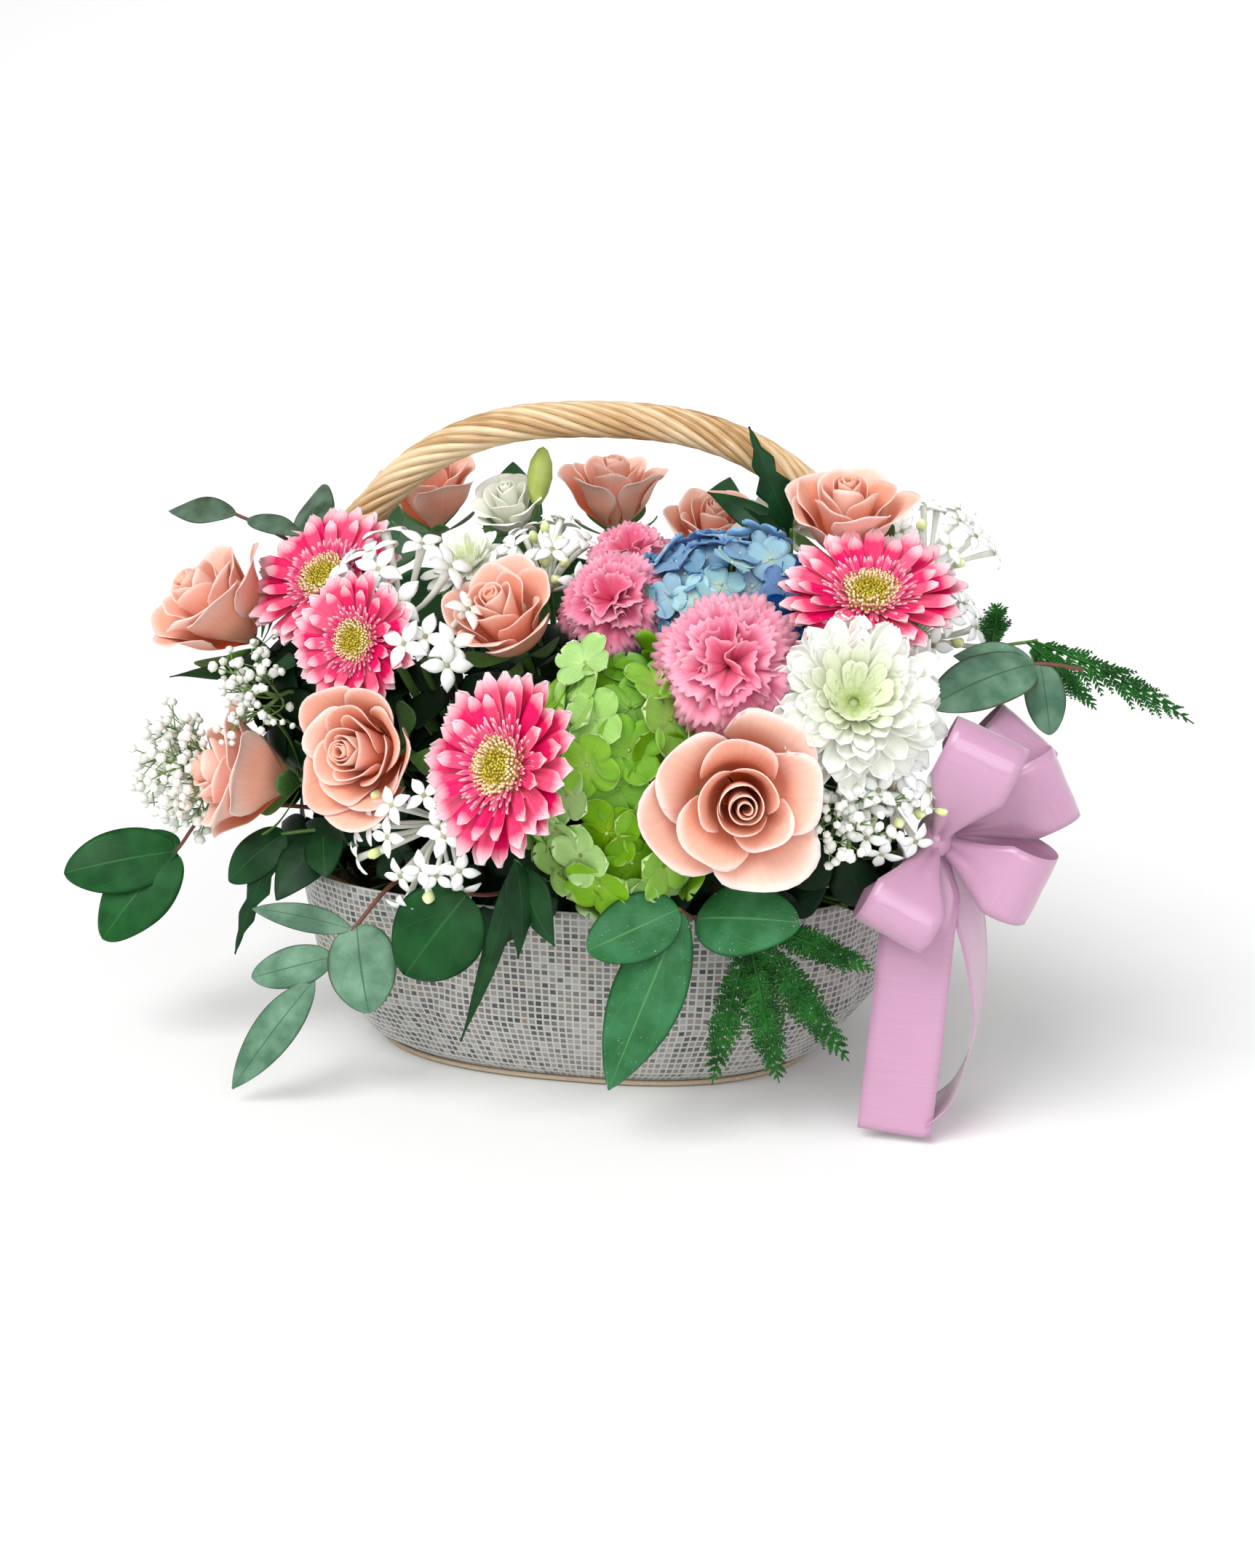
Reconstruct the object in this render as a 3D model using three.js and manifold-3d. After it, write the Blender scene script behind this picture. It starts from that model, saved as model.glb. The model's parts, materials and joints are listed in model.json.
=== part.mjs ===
// A flower basket arrangement: a fabric-wrapped oval willow basket with a twisted handle, holding a block of
// wet foam in a liner, with roses, gerberas, carnations, hydrangeas, chrysanthemums, bouvardia, gypsophila,
// eucalyptus, fern and a satin bow. Millimetres, +Z up, +X along the basket, the front towards -Y. The origin
// is on the floor under the middle of the basket.

import * as THREE from "three";
import { mergeVertices } from "three/addons/utils/BufferGeometryUtils.js";
import Module from "manifold-3d";

const wasm = await Module();
wasm.setup();

// ---------------------------------------------------------------- driving dimensions
const GAP = 0.35; // running clearance between neighbouring pieces
const WRAP = {
  // half-lengths of the fabric's outline at each height
  levels: [
    { z: 0, x: 116, y: 84 },
    { z: 10, x: 134, y: 96 },
    { z: 40, x: 157, y: 108 },
    { z: 104, x: 167, y: 115 },
  ],
  cloth: 1.2,
  sides: 24,
  foldDepth: 1.6,
  folds: 8,
};
const BASKET = { floorZ: 1.6, floor: 4.5, rimZ: 100, wall: 5, border: 13, borderHeight: 12, sides: 12 };
const LINER = { floorZ: BASKET.floorZ + BASKET.floor + 0.3, rimZ: 92, x: 126, y: 86, wall: 1.2 };
const FOAM = [
  { z: LINER.floorZ + LINER.wall + 0.3, x: 88, y: 54 },
  { z: 92, x: 102, y: 68 },
  { z: 126, x: 98, y: 62 },
  { z: 146, x: 76, y: 42 },
];
const FOAM_AXIS = { halfLength: 66, z: 94, reachX: 36, reachY: 68, reachZ: 52 };
const STEM_DEPTH = 24;
const HANDLE = { radius: 8.6, lobe: 1.3, canes: 4, turns: 6, steps: 40 };
const RIBBON = { width: 36, thickness: 0.8 };
const OVAL = 2.5; // exponent of the basket's rounded oval

const COLOUR = {
  peach: 0xf2a58c,
  hotPink: 0xf0588c,
  coral: 0xf27a92,
  cream: 0xf4f5e4,
  white: 0xfbfcfb,
  lime: 0xa9cf52,
  blue: 0x8db6e2,
  leaf: 0x3b7a4a,
  darkLeaf: 0x1d4a24,
  paleLeaf: 0x7fae93,
  fern: 0x2f7a2c,
  gypsophila: 0xe9eddc,
  willow: 0xd9ae6c,
  brown: 0xa07848,
  cloth: 0xd8d4cc,
  foam: 0x2e5b33,
  liner: 0x4b4f4d,
  ribbon: 0xdd9fc8,
};

// ---------------------------------------------------------------- small helpers
const vec = (x, y, z) => new THREE.Vector3(x, y, z);
const point = ([x, y, z]) => vec(x, y, z);
const mix = (a, b, k) => a + (b - a) * k;
const radians = (degrees) => (degrees * Math.PI) / 180;
const GOLDEN = Math.PI * (3 - Math.sqrt(5));

// Seeded random numbers between 0 and 1.
function randomFrom(seed) {
  let state = seed >>> 0;
  return () => {
    state = (state + 0x6d2b79f5) >>> 0;
    let t = Math.imul(state ^ (state >>> 15), 1 | state);
    t = (t + Math.imul(t ^ (t >>> 7), 61 | t)) ^ t;
    return ((t ^ (t >>> 14)) >>> 0) / 4294967296;
  };
}

// The way a bloom looks: azimuth 0 is towards the front, 90 towards +X, and elevation is above level.
function facing([azimuth, elevation]) {
  const a = radians(azimuth);
  const e = radians(elevation);
  return vec(Math.sin(a) * Math.cos(e), -Math.cos(a) * Math.cos(e), Math.sin(e));
}

// Carries a shape made round its own +Z to a place where that axis points along `look`.
function placing(at, look, roll = 0) {
  const z = facing(look);
  const x = vec(0, 0, 1).cross(z).normalize();
  const y = z.clone().cross(x);
  return new THREE.Matrix4()
    .makeBasis(x, y, z)
    .setPosition(point(at))
    .multiply(new THREE.Matrix4().makeRotationZ(radians(roll)));
}

// ---------------------------------------------------------------- closed solids
function solidFrom(geometry) {
  const bare = new THREE.BufferGeometry()
    .setAttribute("position", geometry.getAttribute("position").clone())
    .setIndex(geometry.index);
  const merged = mergeVertices(bare, 1e-4);
  const triVerts = new Uint32Array(merged.index.array);
  const vertProperties = new Float32Array(merged.attributes.position.array);
  const made = new wasm.Manifold(new wasm.Mesh({ numProp: 3, vertProperties, triVerts }));
  if (made.volume() > 0) return made;
  return new wasm.Manifold(new wasm.Mesh({ numProp: 3, vertProperties, triVerts: triVerts.reverse() }));
}

function geometryFrom(solid) {
  const mesh = solid.getMesh();
  const positions = new Float32Array(mesh.numVert * 3);
  for (let i = 0; i < mesh.numVert; i++) {
    const from = i * mesh.numProp;
    positions.set(mesh.vertProperties.subarray(from, from + 3), i * 3);
  }
  const geometry = new THREE.BufferGeometry();
  geometry.setAttribute("position", new THREE.BufferAttribute(positions, 3));
  geometry.setIndex(new THREE.BufferAttribute(new Uint32Array(mesh.triVerts), 1));
  geometry.computeVertexNormals();
  return geometry;
}

const fuse = (solids) => solids.flat().reduce((whole, solid) => whole.add(solid));
const moved = (solid, matrix) => solidFrom(geometryFrom(solid).applyMatrix4(matrix));

// The largest body of a solid: what a cut leaves loose is dropped.
function wholeOf(solid) {
  const bodies = solid.decompose();
  return bodies.reduce((best, body) => (body.volume() > best.volume() ? body : best));
}

const ringOf = (radius, z, sides) =>
  Array.from({ length: sides }, (_, k) => {
    const t = (2 * Math.PI * k) / sides;
    return vec(radius * Math.cos(t), radius * Math.sin(t), z);
  });

// The side faces between two rings. A ring of one point is a pole, and one may have half as many points as
// the other. The second half of a ring is split along the other diagonal, so that both faces of a blade are
// split alike; a twisted bar's whole ring is split along the diagonal that its ridges follow.
function band(a, n, b, m, twisted) {
  const faces = [];
  if (n === 1 || m === 1) {
    const k = Math.max(n, m);
    for (let i = 0; i < k; i++) {
      const j = (i + 1) % k;
      faces.push(...(n === 1 ? [a, b + j, b + i] : [a + i, a + j, b]));
    }
  } else if (m === 2 * n) {
    for (let i = 0; i < n; i++) {
      const j = (i + 1) % n;
      faces.push(a + i, b + 2 * i + 1, b + 2 * i);
      faces.push(a + i, a + j, b + 2 * i + 1);
      faces.push(a + j, b + ((2 * i + 2) % m), b + 2 * i + 1);
    }
  } else if (n === 2 * m) {
    for (let i = 0; i < m; i++) {
      const j = (i + 1) % m;
      faces.push(a + 2 * i, a + 2 * i + 1, b + i);
      faces.push(a + 2 * i + 1, b + j, b + i);
      faces.push(a + 2 * i + 1, a + ((2 * i + 2) % n), b + j);
    }
  } else {
    for (let i = 0; i < n; i++) {
      const j = (i + 1) % n;
      if (i < n / 2 && !twisted) faces.push(a + i, a + j, b + j, a + i, b + j, b + i);
      else faces.push(a + i, a + j, b + i, a + j, b + j, b + i);
    }
  }
  return faces;
}

// The flat end of a ring, as a zigzag strip that suits a round section and a thin one alike.
function cap(first, count, isLast) {
  const faces = [];
  let low = 0;
  let high = count - 1;
  for (let step = 0; high - low > 1; step++) {
    const face = [low, step % 2 ? high - 1 : low + 1, high];
    faces.push(...(isLast ? face : face.slice().reverse()).map((i) => first + i));
    if (step % 2) high -= 1;
    else low += 1;
  }
  return faces;
}

// A closed solid through a list of rings of points.
function loft(rings, twisted = false) {
  const positions = [];
  const starts = [];
  for (const ring of rings) {
    starts.push(positions.length / 3);
    for (const p of ring) positions.push(p.x, p.y, p.z);
  }
  const index = [];
  for (let r = 0; r + 1 < rings.length; r++)
    index.push(...band(starts[r], rings[r].length, starts[r + 1], rings[r + 1].length, twisted));
  index.push(...cap(starts[0], rings[0].length, false));
  index.push(...cap(starts.at(-1), rings.at(-1).length, true));
  const geometry = new THREE.BufferGeometry();
  geometry.setAttribute("position", new THREE.Float32BufferAttribute(positions, 3));
  geometry.setIndex(index);
  return solidFrom(geometry);
}

// A turned solid from a profile of [radius, height] pairs that starts and ends on the axis.
function turned(profile, sides) {
  const points = profile.map(([r, z]) => new THREE.Vector2(r, z));
  const lathe = new THREE.LatheGeometry(points, sides);
  lathe.rotateX(Math.PI / 2);
  return solidFrom(lathe);
}

// A blade: the surface f(u, v), with u from -1 to 1 across and v from 0 to 1 along, thickened about its
// middle.
function blade(surface, { across = 2, along = 4, thickness = 1.1, tipPole = false }) {
  const step = 1e-3;
  const rings = [];
  for (let r = 0; r <= along; r++) {
    const v = r / along;
    if (r === along && tipPole) {
      rings.push([surface(0, v)]);
      continue;
    }
    const over = [];
    const under = [];
    for (let c = 0; c <= across; c++) {
      const u = -1 + (2 * c) / across;
      const here = surface(u, v);
      if (c === 0 || c === across) {
        over.push(here);
        continue;
      }
      const du = surface(u + step, v).sub(surface(u - step, v));
      const dv = surface(u, Math.min(1, v + step)).sub(surface(u, Math.max(0, v - step)));
      const normal = du.cross(dv).normalize();
      over.push(here.clone().addScaledVector(normal, thickness / 2));
      under.unshift(here.clone().addScaledVector(normal, -thickness / 2));
    }
    rings.push([...over, ...under]);
  }
  return loft(rings);
}

// A ring of ray petals that share a hub: each is flat above, with a keel below, widest at its middle, and
// pointed.
function rayRing({ count, hub, middle, tip, half, keel }) {
  const positions = [];
  const index = [];
  const add = (r, t, z, sideways = 0) => {
    positions.push(r * Math.cos(t) - sideways * Math.sin(t), r * Math.sin(t) + sideways * Math.cos(t), z);
    return positions.length / 3 - 1;
  };
  const top = add(0, 0, hub.z);
  const bottom = add(0, 0, hub.z - keel);
  const hubHalf = 0.86 * hub.r * Math.tan(Math.PI / count);
  const rays = Array.from({ length: count }, (_, i) => {
    const t = (2 * Math.PI * (i + (hub.turn ?? 0))) / count;
    const section = (at, width) => [
      add(at.r, t, at.z, -width),
      add(at.r, t, at.z, width),
      add(at.r, t, at.z - keel),
    ];
    return { root: section(hub, hubHalf), widest: section(middle, half), end: add(tip.r, t, tip.z) };
  });
  rays.forEach(({ root, widest, end }, i) => {
    const next = rays[(i + 1) % count].root;
    index.push(top, root[0], root[1], top, root[1], next[0]);
    index.push(bottom, next[2], root[2]);
    index.push(root[1], root[2], next[2], root[1], next[2], next[0]);
    for (let k = 0; k < 3; k++) {
      const l = (k + 1) % 3;
      index.push(root[l], root[k], widest[k], root[l], widest[k], widest[l], widest[l], widest[k], end);
    }
  });
  const geometry = new THREE.BufferGeometry();
  geometry.setAttribute("position", new THREE.Float32BufferAttribute(positions, 3));
  geometry.setIndex(index);
  return solidFrom(geometry);
}

// A small open flower: a dished top and a lobed rim over a cone that runs down to its root, or over a thin
// tube.
function starFlower(radius, { notch, dish, root, tube = 0 }) {
  const rim = Array.from({ length: 8 }, (_, k) => {
    const t = (k * Math.PI) / 4;
    const r = k % 2 ? radius * notch : radius;
    return vec(r * Math.cos(t), r * Math.sin(t), k % 2 ? -dish * 0.3 : dish * 0.5);
  });
  const throat = tube ? [ringOf(tube, -dish - 1.2, 4)] : [];
  return loft([[vec(0, 0, -dish)], rim, ...throat, [vec(0, 0, -root)]]);
}

// ---------------------------------------------------------------- blooms, each made facing +Z
// A rose: a twisted bud inside rings of petals, each an arc of a goblet whose rim rolls outward.
function rose({ radius: R, open = 0.3, rings = [5] }) {
  const petals = [];
  rings.forEach((count, ring) => {
    const k = (ring + 1) / rings.length;
    const belly = R * mix(0.42, 0.8, k);
    const rim = R * mix(0.34, mix(0.76, 1.02, open), k);
    const top = R * mix(0.6, mix(0.5, 0.2, open), k);
    const spread = (Math.PI / count) * 1.1;
    for (let i = 0; i < count; i++) {
      const turn = (2 * Math.PI * i) / count + ring * 0.7;
      const surface = (u, v) => {
        const h = v * (1 - 0.14 * Math.abs(u) ** 3);
        const swell = Math.sin(Math.min(h / 0.6, 1) * (Math.PI / 2));
        const roll = Math.max(0, (h - 0.6) / 0.4);
        const r = (0.12 * R + (belly - 0.12 * R) * swell + (rim - belly) * roll ** 1.5) * (1 + 0.09 * u);
        const z = -0.78 * R + (top + 0.78 * R) * h - 0.16 * R * k * roll ** 3;
        const a = turn + spread * u * mix(0.5, 1, Math.min(1, 1.6 * h));
        return vec(r * Math.cos(a), r * Math.sin(a), z);
      };
      petals.push(blade(surface, { across: 2, along: 2, thickness: 1.3 }));
    }
  });
  const whorl = (radius, height, turn, inner) =>
    Array.from({ length: 6 }, (_, k) => {
      const t = (Math.PI * k) / 3 + turn;
      const r = radius * (k % 2 ? 0.8 : 1);
      return vec(r * Math.cos(t), r * Math.sin(t), height + (k % 2 ? -0.06 * R : 0) - inner);
    });
  const bud = loft([
    [vec(0, 0, -0.95 * R)],
    whorl(0.22 * R, -0.78 * R, 0, 0),
    whorl(0.36 * R, 0.2 * R, 0.4, 0),
    whorl(0.2 * R, 0.66 * R, 0.9, 0),
    [vec(0, 0, 0.6 * R)],
  ]);
  const shell = [[0, -1], [0.3, -0.98], [0.98, -0.4], [1.13, 0.3], [0.6, 0.68], [0, 0.7]];
  const keepOut = turned(shell.map(([r, z]) => [r * R, z * R]), 10);
  return { solid: fuse([bud, ...petals]), keepOut, root: -0.9 * R };
}

// A daisy-like bloom: rings of ray petals, one above the other, round a raised disc.
function daisy({ radius: R, disc, rings, keel = 1.3 }) {
  const rays = rings.map(({ count, reach, lift, half, droop = 0 }, ring) => {
    const rise = Math.tan(radians(lift));
    const at = (r, sag) => ({ r: r * R, z: (ring * 0.08 + (r - 0.2) * rise - sag) * R });
    const hub = { ...at(0.3 * reach + 0.06, 0), turn: 0.5 * (ring % 2) };
    return rayRing({ count, hub, middle: at(0.72 * reach, 0), tip: at(reach, droop), half: half * R, keel });
  });
  const heart = [[0, -0.34], [0.12, -0.3], [disc, 0.06], [disc * 0.7, 0.22], [0, 0.18]];
  const head = turned(heart.map(([r, z]) => [r * R, z * R]), 8);
  const heights = rings.map((g, i) => i * 0.08 + (g.reach - 0.2) * Math.tan(radians(g.lift)));
  const low = Math.min(0, ...heights.map((h, i) => h - (rings[i].droop ?? 0))) * R - keel - 1;
  const high = Math.max(0.24, ...heights) * R + 1;
  const shell = [[0, -0.42 * R], [0.3 * R, -0.4 * R], [1.05 * R, low], [1.05 * R, high], [0, high]];
  const keepOut = turned(shell, 12);
  return { solid: fuse([head, ...rays]), keepOut, root: -0.3 * R };
}

const gerbera = (R, outer, inner) =>
  daisy({
    radius: R,
    disc: 0.3,
    rings: [
      { count: outer, reach: 1.0, lift: 9, half: 0.1 },
      { count: inner, reach: 0.78, lift: 20, half: 0.085 },
    ],
  });

// A chrysanthemum: spoon petals in rings that rise towards the middle.
const chrysanthemum = (R, counts) =>
  daisy({
    radius: R,
    disc: 0.14,
    rings: counts.map((count, ring) => ({
      count,
      reach: [1, 0.88, 0.7, 0.45][ring],
      lift: [8, 24, 42, 62][ring],
      half: [0.15, 0.14, 0.12, 0.09][ring],
      droop: [0.08, 0.05, 0, 0][ring],
    })),
  });

// A carnation: ruffled cups with a toothed rim, one inside the next, over a slim calyx.
function carnation({ radius: R, cups = 4, teeth = 10 }) {
  const rings = [];
  for (let i = cups - 1; i >= 0; i--) {
    const lean = radians(mix(20, 88, i / (cups - 1)));
    const reach = R * mix(0.84, 1.02, i / (cups - 1));
    const rim = Array.from({ length: 2 * teeth }, (_, j) => {
      const t = (Math.PI * j) / teeth;
      const out = reach * (j % 2 ? 0.82 : 1);
      const tilt = lean + 0.07 * Math.cos((j * Math.PI) / 2 + 2 * i);
      const across = out * Math.sin(tilt);
      return vec(across * Math.cos(t), across * Math.sin(t), out * Math.cos(tilt) - 0.22 * R);
    });
    const depth = mix(0.34, 0.2, i / (cups - 1)) * R;
    const valley = i ? [ringOf(0.12 * R + 0.2 * R * (i / cups), depth - 0.22 * R, teeth)] : [];
    rings.push(rim, ...valley);
  }
  const calyx = [[vec(0, 0, -0.75 * R)], ringOf(0.22 * R, -0.6 * R, teeth)];
  const shell = [[0, -0.8], [0.3, -0.75], [1.1, -0.3], [1.12, 0.1], [0.7, 0.7], [0, 0.78]];
  const keepOut = turned(shell.map(([r, z]) => [r * R, z * R]), 8);
  return { solid: loft([...calyx, ...rings, [vec(0, 0, 0.16 * R)]]), keepOut, root: -0.7 * R };
}

// A hydrangea head: a dome covered with four-petalled florets on a golden-angle spiral.
function hydrangea({ radii: [a, b, c], florets, petal }) {
  const parts = [];
  for (let i = 0; i < florets; i++) {
    const z = 1 - (1.12 * (i + 0.5)) / florets;
    const ring = Math.sqrt(1 - z * z);
    const t = i * GOLDEN;
    const normal = vec((ring * Math.cos(t)) / a, (ring * Math.sin(t)) / b, z / c).normalize();
    const at = vec(0.9 * a * ring * Math.cos(t), 0.9 * b * ring * Math.sin(t), 0.9 * c * z);
    const turn = new THREE.Quaternion().setFromUnitVectors(vec(0, 0, 1), normal);
    const spin = new THREE.Quaternion().setFromAxisAngle(vec(0, 0, 1), i * 1.3);
    const matrix = new THREE.Matrix4().compose(at, turn.multiply(spin), vec(1, 1, 1));
    parts.push(moved(starFlower(petal, { notch: 0.6, dish: 1.6, root: 0.3 * c, tube: 1.6 }), matrix));
  }
  const profile = [[0, -0.42], [0.3, -0.4], [0.66, -0.12], [0.7, 0.2], [0.5, 0.55], [0, 0.74]];
  const dome = turned(profile.map(([r, z]) => [r * a, z * c]), 10);
  const squash = new THREE.Matrix4().makeScale(1, b / a, 1);
  const outside = [[0, -0.5], [0.95, -0.45], [1.16, 0], [1.05, 0.5], [0.6, 0.95], [0, 1.08]];
  const shell = turned(outside.map(([r, z]) => [r * a, z * c]), 10);
  return { solid: fuse([moved(dome, squash), ...parts]), keepOut: moved(shell, squash), root: -0.36 * c };
}

// A bouvardia head: white four-pointed stars on long tubes that fan out from one point, with buds between
// them.
function bouvardia({ reach, spread, stars, buds = 1, star = 9.5, seed }) {
  const random = randomFrom(seed);
  const flowers = [];
  const total = stars + buds;
  for (let i = 0; i < total; i++) {
    const isBud = i % Math.ceil(total / (buds + 1)) === 1 && i < total - 1;
    const lean = radians(spread) * Math.sqrt((i + 0.4) / total);
    const a = i * GOLDEN + 0.4 * random();
    const long = reach * mix(0.86, 1.04, random()) * (isBud ? 0.88 : 1);
    const axis = vec(Math.sin(lean) * Math.cos(a), Math.sin(lean) * Math.sin(a), Math.cos(lean));
    const turn = new THREE.Quaternion().setFromUnitVectors(vec(0, 0, 1), axis);
    const spin = new THREE.Quaternion().setFromAxisAngle(vec(0, 0, 1), random() * 3);
    const flower = isBud
      ? loft([[vec(0, 0, 5)], ringOf(3.4, 1.5, 4), ringOf(1.3, -4, 4), [vec(0, 0, -long)]])
      : starFlower(star, { notch: 0.36, dish: 1.4, root: long, tube: 1.4 });
    const width = isBud ? 5.2 : star + 2;
    const height = isBud ? 5.8 : 1.8;
    const shell = turned([[0, -long - 1], [2.4, -4.6], [width, -1.8], [width, height], [0, height]], 5);
    const tip = axis.clone().multiplyScalar(long);
    const frame = new THREE.Matrix4().compose(tip, turn.multiply(spin), vec(1, 1, 1));
    flowers.push({ solid: moved(flower, frame), keepOut: moved(shell, frame) });
  }
  const hub = (grow) => {
    const width = 2.6 + grow;
    return turned([[0, -3.5 - grow], [width, -2], [width, 2], [0, reach * 0.22 + grow]], 6);
  };
  return {
    solid: fuse([hub(0), ...flowers.map((f) => f.solid)]),
    keepOut: fuse([hub(0.6), ...flowers.map((f) => f.keepOut)]),
    root: -2,
  };
}

// A gypsophila spray: tiny round blooms on stalks that leave their forked twigs one after another.
function gypsophila({ reach, spread, forks = 3, beads = 3, bead = 2.8, seed }) {
  const random = randomFrom(seed);
  const parts = [];
  for (let i = 0; i < forks; i++) {
    const lean = radians(spread) * Math.sqrt((i + 0.3) / forks);
    const a = i * GOLDEN;
    const axis = vec(Math.sin(lean) * Math.cos(a), Math.sin(lean) * Math.sin(a), Math.cos(lean));
    const long = reach * mix(0.85, 1, random());
    parts.push(loft([[vec(0, 0, 0)], twigRing(axis, 0.3 * long, 0.8), [axis.clone().multiplyScalar(long)]]));
    for (let k = 0; k < beads; k++) {
      const last = k === beads - 1;
      const from = axis.clone().multiplyScalar(long * (last ? 0.9 : mix(0.34, 0.8, k / beads)));
      const t = k * GOLDEN + a;
      const tilt = last ? 0 : 0.75 + 0.2 * random();
      const side = vec(Math.cos(t), Math.sin(t), 0).projectOnPlane(axis).normalize();
      const way = axis.clone().multiplyScalar(Math.cos(tilt)).addScaledVector(side, Math.sin(tilt));
      const stalk = reach * (last ? 0.18 : mix(0.34, 0.5, random()));
      const turn = new THREE.Quaternion().setFromUnitVectors(vec(0, 0, 1), way);
      const shape = loft([[vec(0, 0, bead)], ringOf(bead, 0, 3), ringOf(0.6, -bead, 3), [vec(0, 0, -stalk)]]);
      const at = from.addScaledVector(way, stalk);
      parts.push(moved(shape, new THREE.Matrix4().compose(at, turn, vec(1, 1, 1))));
    }
  }
  const hub = turned([[0, -2], [1.6, 0], [0, 2]], 4);
  const solid = fuse([hub, ...parts]);
  return { solid, keepOut: solid, root: -1 };
}

// A three-sided ring round a twig.
function twigRing(axis, along, radius) {
  const turn = new THREE.Quaternion().setFromUnitVectors(vec(0, 0, 1), axis);
  return ringOf(radius, along, 3).map((p) => p.applyQuaternion(turn));
}

// ---------------------------------------------------------------- leaves
// The share of its half-width that a leaf of each form has at a share of the way along.
const LEAF_FORMS = {
  round: (v) => Math.sin(Math.PI * v ** 0.82) ** 0.62,
  oval: (v) => Math.sin(Math.PI * v ** 0.85) ** 0.8,
  lance: (v) => Math.sin(Math.PI * v ** 0.7) ** 1.1,
};

// A leaf from its base to its tip. `face` is the way its upper side looks, `arch` lifts its middle, `fold`
// drops its sides, `teeth` notches its edge and `along` is how many lengths it is made of.
function leaf(shape, grow = 0) {
  const { base, tip, width, face = [12, 20], arch = 0.08, fold = 0.12, form = "oval", teeth = 0 } = shape;
  const { along = width < 30 ? 3 : 4 } = shape;
  const from = point(base);
  const stretch = point(tip).sub(from);
  const long = stretch.length();
  const side = stretch.clone().cross(facing(face)).normalize();
  const up = side.clone().cross(stretch).normalize();
  const steps = teeth ? 2 * teeth + 1 : along;
  const surface = (u, v) => {
    const tooth = teeth && Math.round(v * steps) % 2 ? 0.72 : 1;
    const half = Math.max(0.9, (width / 2) * LEAF_FORMS[form](v) * tooth) + grow;
    return from
      .clone()
      .addScaledVector(stretch, v)
      .addScaledVector(side, u * half)
      .addScaledVector(up, arch * long * 4 * v * (1 - v) - fold * half * Math.abs(u));
  };
  return blade(surface, { across: 2, along: steps, thickness: 1.1 + 2 * grow, tipPole: true });
}

// A fern frond: leaflets cut to the rib in the outline of one arched blade.
function frond({ base, tip, width, face = [12, 20], arch = 0.06, pairs }, grow = 0) {
  const from = point(base);
  const stretch = point(tip).sub(from);
  const long = stretch.length();
  const along = stretch.clone().normalize();
  const side = stretch.clone().cross(facing(face)).normalize();
  const up = side.clone().cross(stretch).normalize();
  const steps = 2 * pairs;
  const surface = (u, v) => {
    const isTip = Math.round(v * steps) % 2 === 1;
    const taper = Math.sin(Math.PI * Math.min(1, 0.18 + 0.82 * v)) ** 0.8;
    const half = isTip ? (width / 2) * taper : 1.1;
    return from
      .clone()
      .addScaledVector(stretch, v)
      .addScaledVector(along, isTip ? Math.abs(u) * width * 0.16 * taper : 0)
      .addScaledVector(side, u * (half + grow))
      .addScaledVector(up, arch * long * 4 * v * (1 - v) - 0.1 * half * Math.abs(u));
  };
  return blade(surface, { across: 2, along: steps, thickness: 1.2 + 2 * grow, tipPole: true });
}

// ---------------------------------------------------------------- stems
// Where a stem that comes from `start` stands in the foam: it heads for the foam's middle line.
function foamEnd(start) {
  const x = THREE.MathUtils.clamp(0.62 * start.x, -FOAM_AXIS.halfLength, FOAM_AXIS.halfLength);
  const middle = vec(x, 0, FOAM_AXIS.z);
  const out = start.clone().sub(middle).normalize();
  const reach = 1 / Math.hypot(out.x / FOAM_AXIS.reachX, out.y / FOAM_AXIS.reachY, out.z / FOAM_AXIS.reachZ);
  return {
    entry: middle.clone().addScaledVector(out, reach + 12),
    end: middle.clone().addScaledVector(out, Math.max(12, reach - STEM_DEPTH)),
  };
}

// A stem through points from what it carries down into the foam, with its keep-out a little fatter.
function stem(points, radius, { steps = points.length, sides = 3 } = {}) {
  const path = new THREE.CatmullRomCurve3(points);
  const make = (r) => {
    const section = new THREE.Shape(
      Array.from({ length: sides }, (_, k) => {
        const t = (2 * Math.PI * k) / sides;
        return new THREE.Vector2(r * Math.cos(t), r * Math.sin(t));
      }),
    );
    return solidFrom(new THREE.ExtrudeGeometry(section, { steps, extrudePath: path }));
  };
  const joints = path.getSpacedPoints(steps);
  const quarters = (a, b) => [0, 0.25, 0.5, 0.75].map((k) => a.clone().lerp(b, k));
  const line = joints.slice(1).flatMap((joint, i) => quarters(joints[i], joint));
  return { solid: make(radius), keepOut: make(radius + 2.6 * GAP), line };
}

// A bloom where it stands, on its own stem.
const NECK = 16; // how far a stem runs straight on behind its bloom

function standing({ bloom, at, look, roll = 0, stemRadius }) {
  const matrix = placing(at, look, roll);
  const back = facing(look).negate();
  const root = point(at).addScaledVector(back, -bloom.root);
  const neck = root.clone().addScaledVector(back, NECK);
  const { entry, end } = foamEnd(neck);
  const inside = root.clone().addScaledVector(back, -3);
  const stalk = stem([inside, neck, entry, end], stemRadius, { steps: 3 });
  return {
    solid: moved(bloom.solid, matrix).add(stalk.solid),
    keepOut: moved(bloom.keepOut, matrix).add(stalk.keepOut),
    hole: stalk.keepOut,
  };
}

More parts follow.
